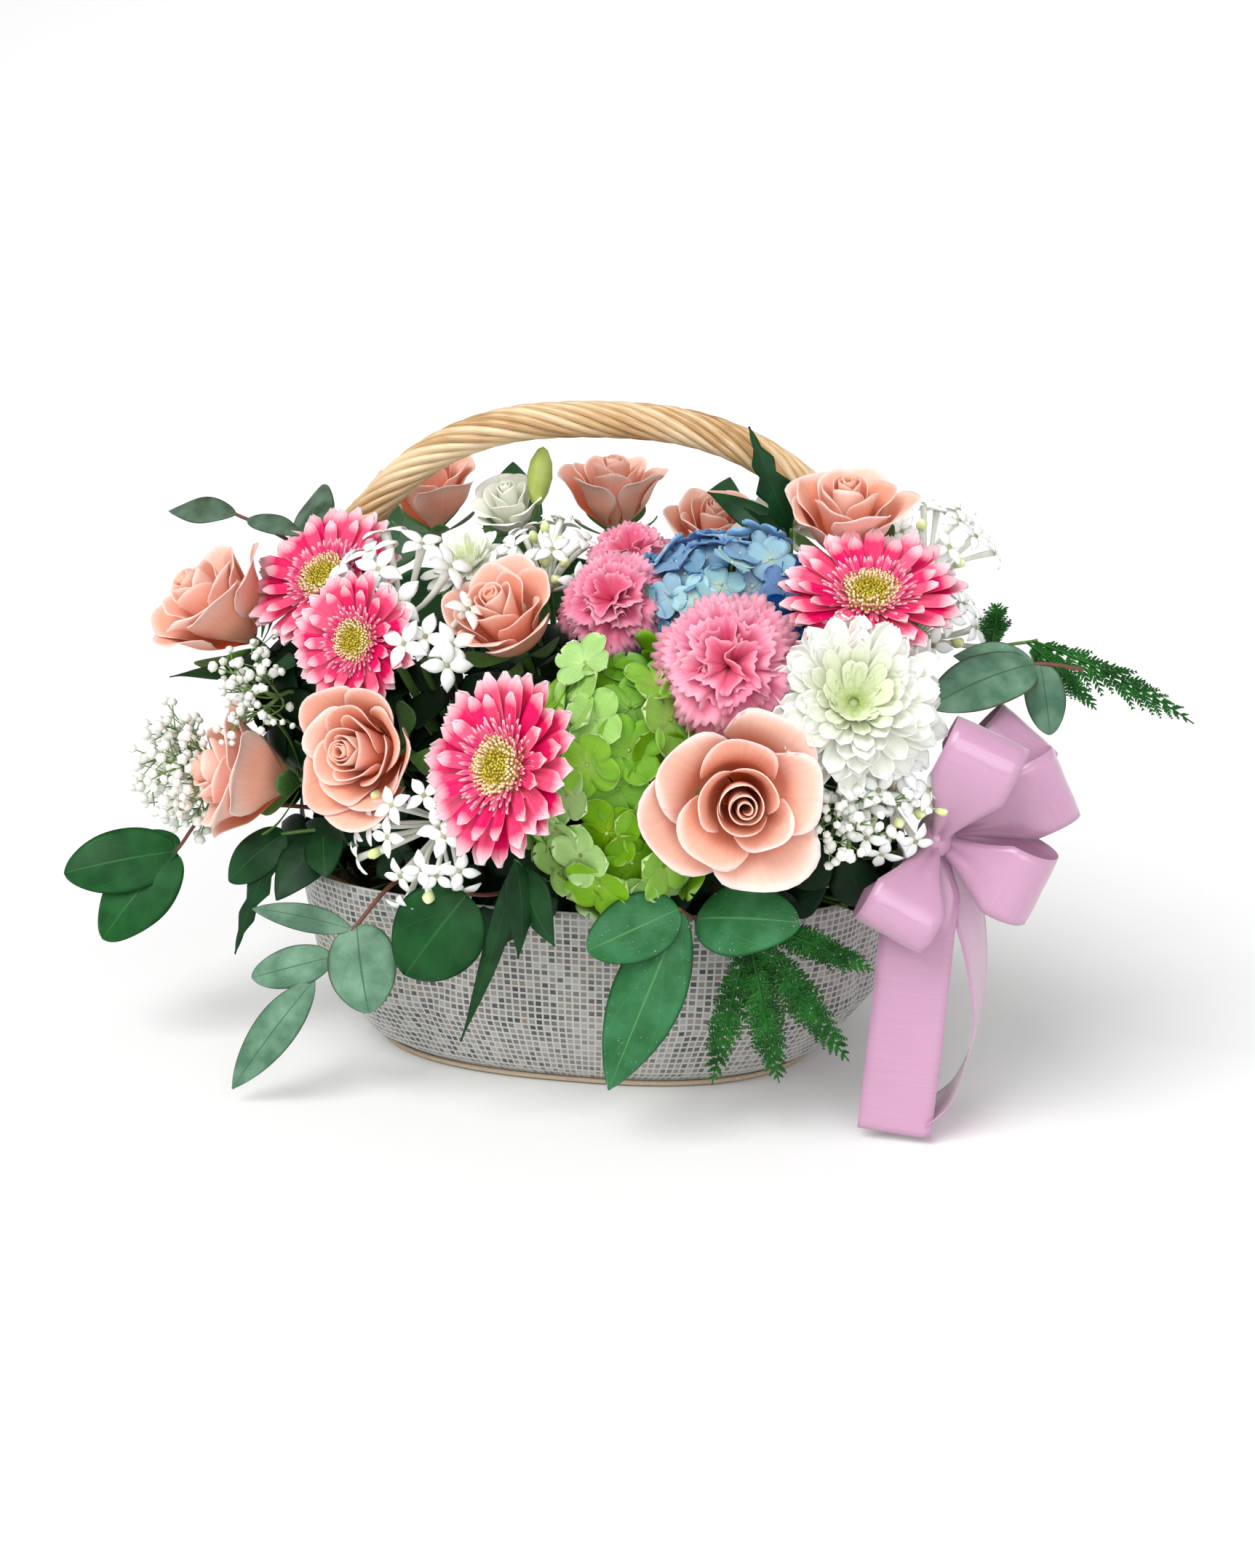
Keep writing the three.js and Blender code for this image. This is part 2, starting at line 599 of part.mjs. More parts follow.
// A leafy stem through its points, which ends in the foam, with its leaves and fronds, each of which springs
// from the nearest point of the stem.
function leafy({ path, radius = 1.4, leaves = [], fronds = [] }) {
  const points = path.map(point);
  const { entry, end } = foamEnd(points.at(-1));
  const stalk = stem([...points, entry, end], radius, { steps: points.length + 3 });
  const nearest = (from) => stalk.line.reduce((a, b) => (b.distanceTo(from) < a.distanceTo(from) ? b : a));
  const rooted = (shape) => ({ ...shape, base: nearest(point(shape.base)).toArray() });
  const blades = (grow) => [
    ...leaves.map((shape) => leaf(rooted(shape), grow)),
    ...fronds.map((shape) => frond(rooted(shape), grow)),
  ];
  return {
    solid: fuse([stalk.solid, ...blades(0)]),
    keepOut: fuse([stalk.keepOut, ...blades(GAP)]),
    hole: stalk.keepOut,
  };
}

// ---------------------------------------------------------------- what the arrangement is made of
const BLOOMS = [
  { name: "rose_front", kind: "rose", at: [102, -160, 179], look: [8, 10],
    radius: 43, open: 0.9, roll: 20, rings: [4, 5] },
  { name: "gerbera_front", kind: "gerbera", at: [-5, -170, 191], look: [-30, 17], radius: 46 },
  { name: "rose_centre_left", kind: "rose", at: [-86, -138, 186], look: [-15, 15],
    radius: 35, open: 0.8, roll: 70, rings: [4, 5] },
  { name: "bouvardia_low_left", kind: "bouvardia", at: [-50, -120, 148], look: [-12, -4],
    reach: 50, spread: 46, stars: 5, seed: 3 },
  { name: "chrysanthemum_front", kind: "mum", at: [150, -128, 220], look: [10, 25], radius: 44 },
  { name: "carnation_front", kind: "carnation", at: [93, -138, 238], look: [5, 20], radius: 32, cups: 4 },
  { name: "gerbera_right", kind: "gerbera", at: [153, -92, 262], look: [5, 58], radius: 44 },
  { name: "hydrangea_green", kind: "hydrangea", at: [40, -124, 176], look: [0, 8],
    radii: [46, 66, 42], florets: 12, petal: 15.5, colour: COLOUR.lime },
  { name: "rose_left_low", kind: "rose", at: [-173, -92, 159], look: [-62, 12],
    radius: 34, open: 0.35, roll: 10 },
  { name: "gerbera_left", kind: "gerbera", at: [-96, -112, 236], look: [-15, 15],
    radius: 35, rays: [11, 5] },
  { name: "rose_left_high", kind: "rose", at: [-195, -62, 243], look: [-50, 45],
    radius: 35, open: 0.4, roll: 40 },
  { name: "rose_middle", kind: "rose", at: [-29, -88, 246], look: [-15, 50],
    radius: 32, open: 0.25, roll: 0 },
  { name: "carnation_middle", kind: "carnation", at: [27, -88, 258], look: [0, 30],
    radius: 26, cups: 3, teeth: 8 },
  { name: "bouvardia_high_left", kind: "bouvardia", at: [-88, -66, 240], look: [-15, 50],
    reach: 46, spread: 50, stars: 5, seed: 5 },
  { name: "bouvardia_inner", kind: "bouvardia", at: [-66, -88, 222], look: [30, 28],
    reach: 42, spread: 30, stars: 4, buds: 0, seed: 8 },
  { name: "gerbera_upper_left", kind: "gerbera", at: [-131, -58, 256], look: [-20, 45],
    radius: 44, rays: [11, 5] },
  { name: "hydrangea_blue", kind: "hydrangea", at: [78, -62, 250], look: [5, 45],
    radii: [46, 40, 40], florets: 11, petal: 14.5, colour: COLOUR.blue },
  { name: "bouvardia_right", kind: "bouvardia", at: [168, -98, 168], look: [25, 5],
    reach: 44, spread: 42, stars: 5, seed: 11 },
  { name: "rose_right", kind: "rose", at: [137, -48, 297], look: [5, 65], radius: 32, open: 0.5, roll: 30 },
  { name: "bouvardia_top", kind: "bouvardia", at: [-20, -30, 250], look: [0, 60],
    reach: 38, spread: 55, stars: 5, buds: 2, seed: 13 },
  { name: "chrysanthemum_left", kind: "mum", at: [-60, -40, 264], look: [-10, 55],
    radius: 24, counts: [8, 5] },
  { name: "rose_top", kind: "rose", at: [-1, 46, 296], look: [10, 80],
    radius: 30, open: 0.3, roll: 55, rings: [4] },
  { name: "rose_behind_handle", kind: "rose", at: [-108, 46, 295], look: [-10, 75],
    radius: 31, open: 0.4, roll: 15, rings: [4] },
  { name: "carnation_back", kind: "carnation", at: [27, -42, 274], look: [0, 50],
    radius: 22, cups: 3, teeth: 8 },
  { name: "rose_back", kind: "rose", at: [57, 34, 279], look: [20, 60],
    radius: 26, open: 0.3, roll: 80, rings: [4] },
  { name: "bouvardia_back_right", kind: "bouvardia", at: [172, 14, 256], look: [25, 55],
    reach: 44, spread: 46, stars: 5, seed: 17 },
  { name: "bouvardia_side_right", kind: "bouvardia", at: [172, -30, 234], look: [60, 35],
    reach: 34, spread: 40, stars: 5, seed: 19 },
  { name: "chrysanthemum_right", kind: "mum", at: [95, 16, 283], look: [10, 60],
    radius: 24, counts: [8, 5] },
  { name: "lisianthus", kind: "rose", at: [-51, 8, 291], look: [-10, 60],
    radius: 22, open: 0.9, rings: [4], colour: COLOUR.cream },
  { name: "gypsophila_left", kind: "gypsophila", at: [-200, -58, 160], look: [-75, 0],
    reach: 34, spread: 65, seed: 23 },
  { name: "gypsophila_middle", kind: "gypsophila", at: [-150, -84, 200], look: [-40, 15],
    reach: 32, spread: 60, seed: 29 },
  { name: "gypsophila_right", kind: "gypsophila", at: [146, -124, 168], look: [12, 0],
    reach: 30, spread: 55, seed: 31 },
];

const FOLIAGE = [
  {
    name: "eucalyptus_left_low",
    colour: COLOUR.leaf,
    path: [[-221, -70, 107], [-199, -62, 130], [-150, -42, 128]],
    leaves: [
      { base: [-219, -72, 108], tip: [-276, -92, 98], width: 36, face: [0, 25], form: "round" },
      { base: [-219, -66, 109], tip: [-262, -60, 96], width: 26, face: [-10, 40], form: "round" },
      { base: [-220, -73, 106], tip: [-254, -96, 63], width: 38, face: [0, 20], form: "round", along: 5 },
    ],
  },
  {
    name: "eucalyptus_front_left",
    colour: COLOUR.paleLeaf,
    path: [[-117, -137, 66], [-96, -129, 94], [-80, -112, 113]],
    leaves: [
      { base: [-104, -126, 95], tip: [-155, -122, 96], width: 15, face: [5, 40] },
      { base: [-112, -134, 80], tip: [-152, -134, 63], width: 21, face: [5, 20], form: "round" },
      { base: [-116, -137, 67], tip: [-159, -150, 8], width: 22, face: [5, 15] },
      { base: [-96, -130, 93], tip: [-85, -146, 54], width: 36, face: [5, 15], form: "round" },
    ],
  },
  {
    name: "eucalyptus_centre_left",
    colour: COLOUR.leaf,
    path: [[-31, -152, 122], [-22, -130, 116], [-14, -104, 116]],
    leaves: [
      { base: [-31, -151, 121], tip: [-60, -162, 82], width: 46, face: [8, 20], form: "round", along: 6 },
    ],
  },
  {
    name: "leaves_centre",
    colour: COLOUR.darkLeaf,
    path: [[-2, -168, 146], [0, -150, 134], [4, -110, 118]],
    leaves: [
      { base: [-1, -168, 146], tip: [-1, -170, 98], width: 17, face: [50, 10], form: "lance" },
      { base: [-1, -160, 143], tip: [16, -166, 104], width: 22, face: [-20, 10], form: "lance" },
      { base: [-2, -166, 145], tip: [-34, -158, 48], width: 11, face: [0, 15], form: "lance", arch: -0.06 },
    ],
  },
  {
    name: "eucalyptus_centre",
    colour: COLOUR.leaf,
    path: [[73, -152, 122], [79, -136, 112], [84, -118, 110], [80, -96, 116]],
    leaves: [
      { base: [72, -151, 121], tip: [32, -166, 103], width: 32, face: [10, 20], form: "round" },
      { base: [73, -150, 119], tip: [42, -166, 33], width: 35, face: [6, 15], along: 6 },
      { base: [79, -138, 113], tip: [131, -160, 122], width: 36, face: [12, 30], form: "round" },
    ],
  },
  {
    name: "eucalyptus_right",
    colour: COLOUR.paleLeaf,
    path: [[254, -58, 226], [232, -60, 228], [200, -46, 218], [150, -34, 180]],
    leaves: [
      { base: [230, -72, 220], tip: [183, -104, 214], width: 30, face: [5, 40], form: "round" },
      { base: [230, -68, 221], tip: [192, -58, 230], width: 18, face: [10, 30] },
      { base: [232, -70, 219], tip: [240, -72, 196], width: 20, face: [10, 10], form: "round" },
    ],
  },
  {
    name: "eucalyptus_top_left",
    colour: COLOUR.paleLeaf,
    path: [[-197, -20, 285], [-175, -24, 277], [-153, -24, 262], [-130, -16, 220]],
    leaves: [
      { base: [-196, -20, 285], tip: [-239, -14, 285], width: 19, face: [0, 50] },
      { base: [-190, -22, 285], tip: [-152, -38, 277], width: 14, face: [0, 50] },
      { base: [-152, -22, 262], tip: [-160, 14, 298], width: 28, face: [-20, 20], form: "round" },
    ],
  },
  {
    name: "leaves_right_top",
    colour: COLOUR.darkLeaf,
    path: [[106, -22, 286], [105, -15, 262], [98, -8, 232]],
    leaves: [
      { base: [105, -22, 284], tip: [84, -26, 337], width: 16, face: [0, 20], form: "lance", teeth: 3 },
      { base: [104, -19, 280], tip: [58, 6, 300], width: 16, face: [0, 30], form: "lance" },
      { base: [104, -16, 276], tip: [84, -40, 298], width: 10, face: [0, 40], form: "lance", teeth: 2 },
    ],
  },
  {
    name: "leaves_left_low",
    colour: COLOUR.darkLeaf,
    path: [[-150, -92, 128], [-128, -80, 128], [-110, -66, 122]],
    leaves: [
      { base: [-149, -91, 128], tip: [-178, -98, 102], width: 24, face: [-10, 20], form: "round" },
      { base: [-148, -92, 127], tip: [-176, -100, 62], width: 16, face: [-10, 10], form: "lance", teeth: 4 },
      { base: [-128, -82, 127], tip: [-146, -112, 98], width: 26, face: [0, 25] },
      { base: [-129, -81, 130], tip: [-118, -112, 112], width: 22, face: [0, 40] },
    ],
  },
  {
    name: "leaves_left_high",
    colour: COLOUR.darkLeaf,
    path: [[-168, -60, 204], [-150, -48, 190]],
    leaves: [
      { base: [-167, -62, 204], tip: [-214, -78, 206], width: 12, face: [0, 60], form: "lance" },
      { base: [-167, -60, 205], tip: [-138, -92, 218], width: 22, face: [-20, 50] },
      { base: [-160, -54, 198], tip: [-206, -30, 204], width: 24, face: [-60, 50] },
    ],
  },
  {
    name: "fern_front",
    colour: COLOUR.fern,
    path: [[104, -139, 99], [105, -135, 109], [103, -119, 119], [98, -100, 122]],
    radius: 1.2,
    fronds: [
      { base: [104, -137, 106], tip: [87, -134, 26], width: 24, face: [0, 20], pairs: 4 },
      { base: [105, -138, 104], tip: [121, -141, 33], width: 26, face: [5, 20], pairs: 4 },
      { base: [106, -136, 107], tip: [154, -138, 46], width: 26, face: [10, 20], pairs: 4 },
      { base: [106, -132, 112], tip: [164, -130, 90], width: 22, face: [10, 30], pairs: 4 },
    ],
  },
  {
    name: "fern_right",
    colour: COLOUR.fern,
    path: [[232, -28, 234], [205, -30, 226], [160, -26, 190]],
    radius: 1.2,
    fronds: [
      { base: [230, -28, 233], tip: [309, -42, 198], width: 26, face: [5, 50], pairs: 4 },
      { base: [226, -29, 232], tip: [262, -48, 204], width: 18, face: [5, 40], pairs: 4 },
      { base: [208, -30, 227], tip: [212, -52, 256], width: 20, face: [10, 30], pairs: 4 },
    ],
  },
];

// Broad leaves that close the arrangement from behind: each stem leans out over the rim, with leaves on both
// sides.
const BACK = [
  { name: "leaves_back_left", from: [-150, 70, 190], reach: [-150, 95, 240], long: 62 },
  { name: "leaves_back_centre_left", from: [-72, 96, 190], reach: [-80, 112, 246], long: 62 },
  { name: "leaves_back_centre_right", from: [36, 100, 186], reach: [40, 114, 240], long: 62 },
  { name: "leaves_back_right", from: [124, 78, 190], reach: [130, 98, 244], long: 62 },
  { name: "leaves_back_low_left", from: [-110, 128, 128], reach: [-130, 146, 118], long: 56 },
  { name: "leaves_back_low_right", from: [86, 132, 128], reach: [110, 148, 116], long: 56 },
];

function backSpray({ name, from, reach, long }) {
  const low = point(from);
  const high = point(reach);
  const along = high.clone().sub(low).normalize();
  const wide = vec(1, 0, 0).addScaledVector(along, -along.x).normalize();
  const leafAt = (k, sideways, up) => {
    const base = low.clone().lerp(high, k);
    const tip = base.clone().addScaledVector(wide, sideways * long).addScaledVector(along, up * long);
    return { base: base.toArray(), tip: tip.toArray(), width: 0.62 * long, face: [180, 20], along: 3 };
  };
  return {
    name,
    colour: COLOUR.darkLeaf,
    path: [reach, from],
    leaves: [leafAt(0.98, 0.1, 0.95), leafAt(0.5, 0.9, 0.3), leafAt(0.3, -0.9, 0.1)],
  };
}

const MAKERS = {
  rose,
  gerbera: (b) => gerbera(b.radius, ...(b.rays ?? [13, 8])),
  mum: (b) => chrysanthemum(b.radius, b.counts ?? [11, 8, 5]),
  carnation,
  hydrangea,
  bouvardia,
  gypsophila,
};
const BLOOM_COLOURS = {
  rose: COLOUR.peach,
  gerbera: COLOUR.hotPink,
  mum: COLOUR.cream,
  carnation: COLOUR.coral,
  bouvardia: COLOUR.white,
  gypsophila: COLOUR.gypsophila,
};
const STEM_RADIUS = {
  rose: 2.6,
  gerbera: 2.4,
  mum: 2.6,
  carnation: 2.2,
  hydrangea: 3,
  bouvardia: 1.7,
  gypsophila: 1.2,
};

// ---------------------------------------------------------------- the ribbon
// A band of ribbon through points, with the way its width runs at each.
function ribbon(stations, thickness = RIBBON.thickness) {
  return loft(
    stations.map(({ at, across, along, width }) => {
      const normal = along.clone().cross(across).normalize();
      const corner = (i, j) =>
        at.clone().addScaledVector(across, (i * width) / 2).addScaledVector(normal, (j * thickness) / 2);
      return [corner(-1, -1), corner(1, -1), corner(1, 1), corner(-1, 1)];
    }),
  );
}

// A loop of the bow, from the knot out to `reach` along `out` and back, its width along `across`.
function bowLoop({ root, out, across, reach, bulge }, grow = 0) {
  const away = point(out).normalize();
  const wide = point(across).addScaledVector(away, -point(across).dot(away)).normalize();
  const belly = away.clone().cross(wide);
  const at = (t) =>
    point(KNOT)
      .add(vec(0, root, 0))
      .addScaledVector(away, reach * Math.sin(Math.PI * t))
      .addScaledVector(belly, bulge * Math.sin(2 * Math.PI * t) + (1.2 + grow) * Math.cos(Math.PI * t));
  const steps = 6;
  return ribbon(
    Array.from({ length: steps + 1 }, (_, i) => {
      const t = i / steps;
      const pinch = Math.min(1, 0.22 + 1.5 * Math.sin(Math.PI * t) ** 1.5);
      return {
        at: at(t),
        along: at(t + 1e-3).sub(at(t - 1e-3)).normalize(),
        across: wide,
        width: RIBBON.width * pinch + 2 * grow,
      };
    }),
    RIBBON.thickness + 2 * grow,
  );
}

// A tail of the bow through points, its width turning from one direction to the next.
function bowTail({ points, across }, grow = 0) {
  const path = new THREE.CatmullRomCurve3(points.map(point));
  const steps = 5;
  return ribbon(
    Array.from({ length: steps + 1 }, (_, i) => {
      const t = i / steps;
      const along = path.getTangent(t);
      const span = t * (across.length - 1);
      const k = Math.min(Math.floor(span), across.length - 2);
      const wide = point(across[k]).lerp(point(across[k + 1]), span - k);
      wide.addScaledVector(along, -wide.dot(along)).normalize();
      const width = RIBBON.width * Math.min(1, 0.35 + 3 * t) + 2 * grow;
      return { at: path.getPoint(t), along, across: wide, width };
    }),
    RIBBON.thickness + 2 * grow,
  );
}

const KNOT = [189, -98, 150];
const BOW = {
  loops: [
    { root: -10, out: [26, -22, 60], across: [0.9, 0, -0.4], reach: 66, bulge: 9 },
    { root: 11, out: [44, 16, 52], across: [0.8, 0, -0.6], reach: 66, bulge: 9 },
    { root: 4, out: [64, 6, 30], across: [-0.4, 0, 0.9], reach: 66, bulge: 9 },
    { root: -3, out: [54, -12, -22], across: [0.3, 0, 0.9], reach: 56, bulge: 11 },
    { root: -10, out: [-20, -30, -42], across: [0.8, 0, -0.5], reach: 52, bulge: 9 },
  ],
  tails: [
    {
      points: [[187, -97, 146], [183, -112, 112], [180, -120, 60], [176, -126, 5]],
      across: [[1, 0, 0], [1, 0.05, 0], [1, 0, 0]],
    },
    {
      points: [[192, -91, 147], [208, -94, 104], [213, -98, 60], [204, -104, 24], [188, -110, 7]],
      across: [[0.5, 0.8, 0], [0.1, 1, 0], [0, 1, 0]],
    },
  ],
};

function bow() {
  const knot = moved(turned([[0, -17], [9, -7], [9, 7], [0, 17]], 6), placing(KNOT, [0, 0]));
  const pick = stem([point(KNOT), vec(156, -78, 138), vec(112, -50, 118), vec(72, -30, 108)], 1.6);
  const bands = (grow) => [
    ...BOW.loops.map((loop) => bowLoop(loop, grow)),
    ...BOW.tails.map((tail) => bowTail(tail, grow)),
  ];
  return {
    solid: fuse([knot, pick.solid, ...bands(0)]),
    keepOut: fuse([knot, pick.keepOut, ...bands(GAP)]),
    hole: pick.keepOut,
  };
}

// ---------------------------------------------------------------- the basket and what it holds
// A point of a rounded oval with half-lengths a and b, at the angle t.
function oval(a, b, t) {
  const c = Math.cos(t);
  const s = Math.sin(t);
  return [a * Math.sign(c) * Math.abs(c) ** (2 / OVAL), b * Math.sign(s) * Math.abs(s) ** (2 / OVAL)];
}

// One level of an oval: its ring of points, drawn in by `inset` and pushed out where the cloth folds.
function ovalRing({ x, y, z }, sides, inset = 0, fold = 0) {
  return Array.from({ length: sides }, (_, k) => {
    const t = (2 * Math.PI * k) / sides;
    const out = fold * (0.5 + 0.5 * Math.cos(WRAP.folds * t));
    const [px, py] = oval(x - inset + out, y - inset + out, t);
    return vec(px, py, z);
  });
}

// The wrap's outline at a height.
function wrapAt(z) {
  const above = WRAP.levels.findIndex((level) => level.z >= z);
  const b = WRAP.levels[Math.max(1, above)];
  const a = WRAP.levels[Math.max(1, above) - 1];
  const k = (z - a.z) / (b.z - a.z);
  return { x: mix(a.x, b.x, k), y: mix(a.y, b.y, k), z };
}

function wrap() {
  const { levels, cloth, sides, foldDepth } = WRAP;
  const outer = levels.map((level, i) => ovalRing(level, sides, 0, i ? foldDepth : 0));
  const inner = levels
    .map((level, i) => ovalRing({ ...level, z: i ? level.z : cloth }, sides, cloth, i ? foldDepth : 0))
    .reverse();
  return loft([[vec(0, 0, 0)], ...outer, ...inner, [vec(0, 0, cloth)]]);
}

function basket(handleKeepOut) {
  const { floorZ, floor, rimZ, wall, border, borderHeight, sides } = BASKET;
  const inset = WRAP.cloth + GAP + 0.4;
  const level = (z, drawnIn = inset) => ovalRing(wrapAt(z), sides, drawnIn);
  const outer = [level(floorZ, inset + 4), level(12), level(40), level(rimZ)];
  const rim = wrapAt(rimZ);
  const inner = [
    ovalRing(rim, sides, inset + border),
    ovalRing({ ...rim, z: rimZ - borderHeight }, sides, inset + border),
    ovalRing({ ...rim, z: rimZ - borderHeight - 4 }, sides, inset + wall + 1),
    ovalRing({ ...wrapAt(floorZ), z: floorZ + floor }, sides, inset + wall + 4),
  ];
  const whole = loft([[vec(0, 0, floorZ)], ...outer, ...inner, [vec(0, 0, floorZ + floor)]]);
  return whole.subtract(handleKeepOut);
}

function liner() {
  const { floorZ, rimZ, x, y, wall } = LINER;
  const ring = (z, k, inset) => ovalRing({ x: x * k, y: y * k, z }, BASKET.sides, inset);
  return loft([
    [vec(0, 0, floorZ)],
    ring(floorZ, 0.84, 0),
    ring(rimZ, 1, 0),
    ring(rimZ, 1, wall),
    ring(floorZ + wall, 0.84, wall),
    [vec(0, 0, floorZ + wall)],
  ]);
}

function foam() {
  const rings = FOAM.map(({ x, y, z }) => {
    const chamfer = [[1, 0.7], [0.8, 1], [-0.8, 1], [-1, 0.7]];
    const corner = [...chamfer, ...chamfer.map(([i, j]) => [-i, -j])];
    return corner.map(([i, j]) => vec(i * x, j * y, z));
  });
  return loft([[vec(0, 0, FOAM[0].z)], ...rings, [vec(0, 0, FOAM.at(-1).z + 2)]]);
}

// The handle's middle line: an arch over the basket, with its ends down inside the basket's wall.
const ARCH = {
  halfSpan: 172,
  spring: 110,
  top: 337.5,
  oval: 2.5,
  leg: [[157, 196], [157, 158], [151, 112], [149, 84], [147, 40]],
};

function handlePath() {
  const { halfSpan, spring, top, oval: power, leg } = ARCH;
  const side = (sign) => leg.map(([x, z]) => vec(sign * x, 0, z));
  const steps = 12;
  const crown = Array.from({ length: steps + 1 }, (_, i) => {
    const t = mix(0.78, 0.22, i / steps) * Math.PI;
    const x = halfSpan * Math.sign(Math.cos(t)) * Math.abs(Math.cos(t)) ** (2 / power);
    return vec(x, 0, spring + (top - spring) * Math.sin(t) ** (2 / power));
  });
  return new THREE.CatmullRomCurve3([...side(-1).reverse(), ...crown, ...side(1)], false, "centripetal");
}

function handle(grow = 0) {
  const { radius, lobe, canes, turns, steps } = HANDLE;
  const path = handlePath();
  const rings = Array.from({ length: steps + 1 }, (_, i) => {
    const t = i / steps;
    const at = path.getPointAt(t);
    const along = path.getTangentAt(t);
    const out = vec(0, 1, 0).cross(along).normalize();
    const taper = Math.min(1, 0.5 + 4.5 * Math.min(t, 1 - t));
    const count = grow ? 8 : 2 * canes;
    const round = (taper * (radius + lobe) + grow) / Math.cos(Math.PI / 8);
    return Array.from({ length: count }, (_, k) => {
      const a = (2 * Math.PI * k) / count + (grow ? 0 : 2 * Math.PI * turns * t);
      const r = grow ? round : taper * (radius + (k % 2 ? -lobe : lobe));
      return at.clone().addScaledVector(out, r * Math.cos(a)).addScaledVector(vec(0, 1, 0), r * Math.sin(a));
    });
  });
  return loft(rings, !grow);
}

// ---------------------------------------------------------------- the assembly
const arrangement = new THREE.Group();

function addNode(name, solid, color, roughness = 0.7) {
  const material = new THREE.MeshStandardMaterial({ color, roughness, metalness: 0 });
  const mesh = new THREE.Mesh(geometryFrom(solid), material);
  mesh.name = name;
  arrangement.add(mesh);
}

// Each bloom and leafy stem that would cross one settled before it, or the handle, gives way to it.
const settled = [{ solid: handle(), keepOut: handle(GAP) }];
const holes = [];

function crosses(a, b) {
  const p = a.boundingBox();
  const q = b.boundingBox();
  return [0, 1, 2].every((i) => p.min[i] < q.max[i] && q.min[i] < p.max[i]) && a.intersect(b).volume() > 0;
}

function settle(name, { solid, keepOut, hole }, colour) {
  let rest = solid;
  for (const other of settled) if (crosses(rest, other.solid)) rest = rest.subtract(other.keepOut);
  rest = wholeOf(rest);
  addNode(name, rest, colour);
  settled.push({ solid: rest, keepOut });
  holes.push(hole);
}

for (const bloom of BLOOMS) {
  const made = standing({
    bloom: MAKERS[bloom.kind](bloom),
    at: bloom.at,
    look: bloom.look,
    roll: bloom.roll,
    stemRadius: STEM_RADIUS[bloom.kind],
  });
  settle(bloom.name, made, bloom.colour ?? BLOOM_COLOURS[bloom.kind]);
}
settle("ribbon_bow", bow(), COLOUR.ribbon);
for (const sprig of [...FOLIAGE, ...BACK.map(backSpray)]) settle(sprig.name, leafy(sprig), sprig.colour);

addNode("handle", settled[0].solid, COLOUR.willow, 0.55);
addNode("fabric_wrap", wrap(), COLOUR.cloth, 0.8);
addNode("basket", basket(settled[0].keepOut), COLOUR.brown, 0.8);
addNode("liner", liner(), COLOUR.liner, 0.4);
addNode("foam", wholeOf(holes.reduce((block, hole) => block.subtract(hole), foam())), COLOUR.foam, 0.95);

export default arrangement;
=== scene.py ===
"""The looks of a flower basket arrangement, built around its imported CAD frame.

Lengths are millimetres unless a name says metres. +X runs along the basket, the front is towards -Y and +Z is
up. A bloom is worked out facing its own +Z and then carried to its place. Surfaces are numpy arrays over two
parameters: u from -1 to 1 across a petal or leaf, and v from 0 at its root to 1 at its tip.
"""

from __future__ import annotations

import json
import logging
import math
from collections.abc import Callable, Sequence
from dataclasses import dataclass, replace
from enum import Enum
from functools import partial
from typing import Any

import bpy
import numpy as np
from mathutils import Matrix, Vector

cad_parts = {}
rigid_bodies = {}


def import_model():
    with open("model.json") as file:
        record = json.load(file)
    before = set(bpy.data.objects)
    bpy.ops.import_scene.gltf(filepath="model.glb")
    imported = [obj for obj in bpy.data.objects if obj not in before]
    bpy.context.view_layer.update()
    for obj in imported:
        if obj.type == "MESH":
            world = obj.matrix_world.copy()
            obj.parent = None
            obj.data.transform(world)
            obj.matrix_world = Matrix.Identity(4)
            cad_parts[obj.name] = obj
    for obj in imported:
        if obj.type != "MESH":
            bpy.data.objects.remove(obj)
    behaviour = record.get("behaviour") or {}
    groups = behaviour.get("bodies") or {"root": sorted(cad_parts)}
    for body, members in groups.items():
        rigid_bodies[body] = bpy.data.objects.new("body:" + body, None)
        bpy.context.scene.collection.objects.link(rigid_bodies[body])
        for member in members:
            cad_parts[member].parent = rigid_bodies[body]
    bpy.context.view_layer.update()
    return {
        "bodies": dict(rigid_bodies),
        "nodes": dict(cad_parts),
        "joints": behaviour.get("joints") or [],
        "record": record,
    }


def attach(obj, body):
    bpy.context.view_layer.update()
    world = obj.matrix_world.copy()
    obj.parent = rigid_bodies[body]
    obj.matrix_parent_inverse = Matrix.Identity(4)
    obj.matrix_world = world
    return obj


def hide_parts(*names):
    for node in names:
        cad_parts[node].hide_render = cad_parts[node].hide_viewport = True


LOG = logging.getLogger("flower_basket")
MM = 0.001
GOLDEN = math.pi * (3 - math.sqrt(5))
ROOT = "root"
TIE = 1e-6
PETAL_THICK = 0.5
LEAF_THICK = 0.6

Array = np.ndarray
Vec = tuple[float, float, float]
Inputs = dict[int | str, Any]
Add = Callable[..., Any]


# ---- small maths ----
def unit(vectors: Array) -> Array:
    """Vectors scaled to length 1."""
    return vectors / np.maximum(np.linalg.norm(vectors, axis=-1, keepdims=True), 1e-9)


def mix(a: Any, b: Any, k: Any) -> Any:
    """The value a share k of the way from a to b."""
    return a + (b - a) * k


def ease(x: Any) -> Any:
    """0 below 0, 1 above 1, and a smooth rise between."""
    t = np.clip(x, 0.0, 1.0)
    return t * t * (3 - 2 * t)


def stacked(*parts: Any) -> Array:
    """Parts broadcast to one shape and laid side by side in a last axis of their own."""
    return np.stack(np.broadcast_arrays(*parts), -1)


